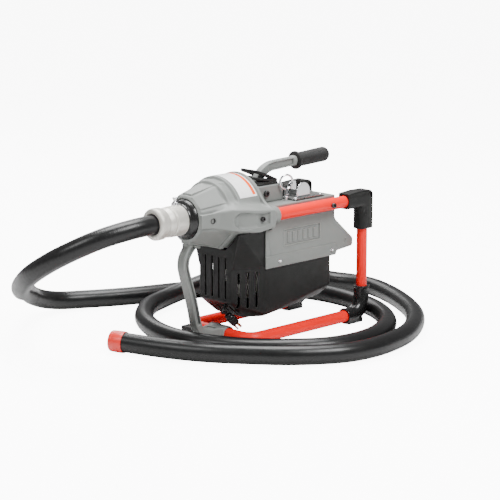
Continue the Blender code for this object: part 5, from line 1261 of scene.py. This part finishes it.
# ---------------------------------------------------------------- screws, label, cord
def make_screws():
    for label, side in SIDES:
        low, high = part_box("rail_screw_" + label)
        mid = (low + high) / 2
        cap_screw("rail_cap_" + label, (mid.x, side * (RAIL_Y + RAIL_RADIUS + 0.0006), mid.z), (0, side, 0),
                  0.0062, 0.0062, "black_steel", nodes=("rail_screw_" + label,), length=0.0060)
        low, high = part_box("lug_screw_" + label)
        mid = (low + high) / 2
        radius = (high.z - low.z) / 2
        cap_screw("lug_cap_" + label, (mid.x, side * 0.1162, mid.z), (0, side, 0), radius, 0.0068,
                  "black_steel", nodes=("lug_screw_" + label,), length=0.0030)
        for place in ("front", "rear"):
            name = "cover_screw_" + place + "_" + label
            low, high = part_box(name)
            mid = (low + high) / 2
            sections = [(0.0, 0.0038), (0.0004, 0.0044), (0.0012, 0.0044), (0.0016, hexagon(0.0031)),
                        (0.0038, hexagon(0.0031)), (0.0044, 0.0027), (0.0044, 0.0004)]
            head = rings(name.replace("screw", "hex"), sections,
                         toward((mid.x, side * 0.0855, mid.z), (0, side, 0)), "bright_steel", 48)
            settle(head, "machine", "zinc", name)


def film(name, x_low, x_high, start, stop, low, high, slot):
    """A curved strip on the dome, from one angle to another about the spindle."""
    rows = max(int(abs(stop - start) / 2.0), 6)
    verts, faces = [], []
    for row in range(rows + 1):
        angle = math.radians(start + (stop - start) * row / rows)
        for radius, x in ((low, x_low), (low, x_high), (high, x_high), (high, x_low)):
            verts.append((x, radius * math.cos(angle), SPINDLE_Z + radius * math.sin(angle)))
    for row in range(rows):
        for k in range(4):
            faces.append((row * 4 + k, row * 4 + (k + 1) % 4, row * 4 + 4 + (k + 1) % 4, row * 4 + 4 + k))
    faces.append((0, 1, 2, 3))
    faces.append(tuple(rows * 4 + k for k in (3, 2, 1, 0)))
    item = link_mesh(name, verts, faces, slot, smooth=False)
    fix_normals(item.data)
    return item


LABEL_FROM, LABEL_TO = 150.0, 65.0
LABEL_RADIUS = 0.0870
STRIPE_MARGIN = 3.0


def make_label():
    white = film("label_white", -0.0070, 0.0472, LABEL_FROM, LABEL_TO, LABEL_RADIUS,
                 LABEL_RADIUS + 0.00015, "label_film")
    settle(white, "machine", "label_film", "dome_label")
    stripe = film("label_stripe", 0.0355, 0.0442, LABEL_FROM - STRIPE_MARGIN, LABEL_TO + STRIPE_MARGIN,
                  LABEL_RADIUS + 0.00010, LABEL_RADIUS + 0.00025, "label_orange")
    settle(stripe, "machine", "label_film")


def make_cord():
    lean = Vector((-0.62, 0.30, 0.72)).to_track_quat("Z", "Y").to_matrix().to_4x4()
    place = Matrix.Translation((0.006, -0.032, 0.0560)) @ lean
    grid = Grid((-0.0125, -0.0115, -0.0160), (0.0125, 0.0115, 0.0165), 0.0007)
    body = block(grid, (-0.011, -0.010, -0.015), (0.011, 0.010, 0.004), 0.0035)
    body = blend_min(body, drum(grid, "Z", (0.0, 0.0), 0.0085, -0.004, 0.0150, 0.0025), 0.005)
    for side in (-1, 1):
        for index in range(3):
            z = -0.0080 + 0.0045 * index
            low, high = sorted((side * 0.0100, side * 0.0120))
            groove = block(grid, (low, -0.0060, z - 0.0008), (high, 0.0060, z + 0.0008), 0.0004)
            body = take_away(body, groove, 0.0006)
    plug = skin("plug_body", grid, body, "gloss_black")
    plug.data.transform(place)
    settle(plug, "machine", "black_plastic", "power_plug")
    grid = Grid((-0.0076, -0.0090, -0.0302), (0.0076, 0.0075, -0.0153), 0.0005)
    body = block(grid, (-0.0075, -0.0080, -0.0165), (0.0075, 0.0068, -0.0154), 0.0003)
    for x in (-0.0055, 0.0055):
        blade = block(grid, (x - 0.0008, 0.0, -0.0300), (x + 0.0008, 0.0060, -0.0160), 0.0004)
        body = blend_min(body, blade, 0.0003)
    body = blend_min(body, drum(grid, "Z", (0.0, -0.0055), 0.0022, -0.0300, -0.0160, 0.0010), 0.0003)
    blades = skin("plug_prongs", grid, body, "brass")
    blades.data.transform(place)
    settle(blades, "machine", "brass", "plug_blades")
    top = place @ Vector((0, 0, 0.0155))
    points = [top, place @ Vector((0, 0, 0.0220)), Vector((-0.0150, -0.0235, 0.0735)),
              Vector((-0.0120, -0.0220, 0.0765)), Vector((0.0080, -0.0220, 0.0992))]
    cord = sweep("cord_jacket", even_line(smooth_line(points, 6), 0.0015), 0.0039, "hose_vinyl", 28)
    settle(cord, "machine", "hose_vinyl", "power_cord")


# ---------------------------------------------------------------- CAD nodes that stay
def finish_inside():
    """The CAD nodes that stay get their finish, and smooth faces where they are turned."""
    for name, node in frame["nodes"].items():
        slot = NODE_SLOT[name]
        node.data.materials.clear()
        node.data.materials.append(MATERIALS[slot])
        work = bmesh.new()
        work.from_mesh(node.data)
        for face in work.faces:
            face.smooth = True
        mark_sharp(work, 32)
        work.to_mesh(node.data)
        work.free()


# ---------------------------------------------------------------- floor, light and camera
FLOOR_HALF = 30
BACKDROP = 9.0
AMBIENT = 0.26
AIM = Vector((0.10, 0.02, 0.15))
LIGHTS = (("key", (-0.1, -2.2, 2.6), 1.1, 125.0), ("front", (-2.6, 0.2, 2.3), 1.2, 42.0),
          ("top", (0.3, 0.5, 3.0), 1.8, 185.0), ("back", (1.4, 2.6, 2.2), 1.4, 40.0))
CAMERA_AT = (-3.059, -3.158, 1.133)
CAMERA_TILT, CAMERA_TURN = 78.2, -45.0
LENS, SENSOR = 140.4, 36.0


def camera_glow(tree, low):
    """A strength that is low to the machine and as bright as the backdrop to the camera."""
    path = tree.nodes.new("ShaderNodeLightPath")
    return link_range(tree, path.outputs["Is Camera Ray"], 0.0, 1.0, low, BACKDROP)


def make_stage():
    floor_mesh = bpy.data.meshes.new("studio_floor")
    floor_mesh.from_pydata([(x * FLOOR_HALF, y * FLOOR_HALF, 0) for x, y in (
        (-1, -1), (1, -1), (1, 1), (-1, 1))], [], [(0, 1, 2, 3)])
    floor = bpy.data.objects.new("studio_floor", floor_mesh)
    floor.location.z = min(0.0, CAD_LOW.z) - 0.0002
    bpy.context.scene.collection.objects.link(floor)
    pale = bpy.data.materials.new("studio_floor")
    pale.use_nodes = True
    shader = pale.node_tree.nodes["Principled BSDF"]
    shader.inputs["Base Color"].default_value = (0.75, 0.75, 0.75, 1)
    shader.inputs["Roughness"].default_value = 0.75
    shader.inputs["Emission Color"].default_value = (1.0, 1.0, 1.0, 1)
    pale.node_tree.links.new(camera_glow(pale.node_tree, 0.0), shader.inputs["Emission Strength"])
    floor_mesh.materials.append(pale)

    # The backdrop is brighter to the camera than to the machine, whose light comes from the panels.
    world = bpy.data.worlds.new("studio")
    bpy.context.scene.world = world
    world.use_nodes = True
    tree = world.node_tree
    tree.nodes["Background"].inputs["Color"].default_value = (1.0, 1.0, 1.0, 1)
    tree.links.new(camera_glow(tree, AMBIENT), tree.nodes["Background"].inputs["Strength"])

    for name, place, size, power in LIGHTS:
        data = bpy.data.lights.new(name, "AREA")
        data.shape = "SQUARE"
        data.size = size
        data.energy = power
        light = bpy.data.objects.new(name, data)
        light.location = place
        light.rotation_mode = "QUATERNION"
        light.rotation_quaternion = (AIM - Vector(place)).to_track_quat("-Z", "Y")
        bpy.context.scene.collection.objects.link(light)

    data = bpy.data.cameras.new("photo_camera")
    data.lens = LENS
    data.sensor_width = SENSOR
    camera = bpy.data.objects.new("photo_camera", data)
    camera.location = CAMERA_AT
    camera.rotation_euler = (math.radians(CAMERA_TILT), 0.0, math.radians(CAMERA_TURN))
    data.clip_start, data.clip_end = 0.05, 200.0
    bpy.context.scene.collection.objects.link(camera)
    bpy.context.scene.camera = camera


finish_inside()
make_clutch_housing()
make_front_leg()
make_lever()
make_bracket_and_bellows()
make_drive_cover()
make_motor_shroud()
make_frame()
for side_label, side_sign in SIDES:
    make_upper_elbow(side_label, side_sign)
    make_lower_elbow(side_label, side_sign)
    make_front_foot(side_label, side_sign)
make_hose()
make_adapter()
make_switch()
make_key()
make_screws()
make_label()
make_cord()
make_stage()
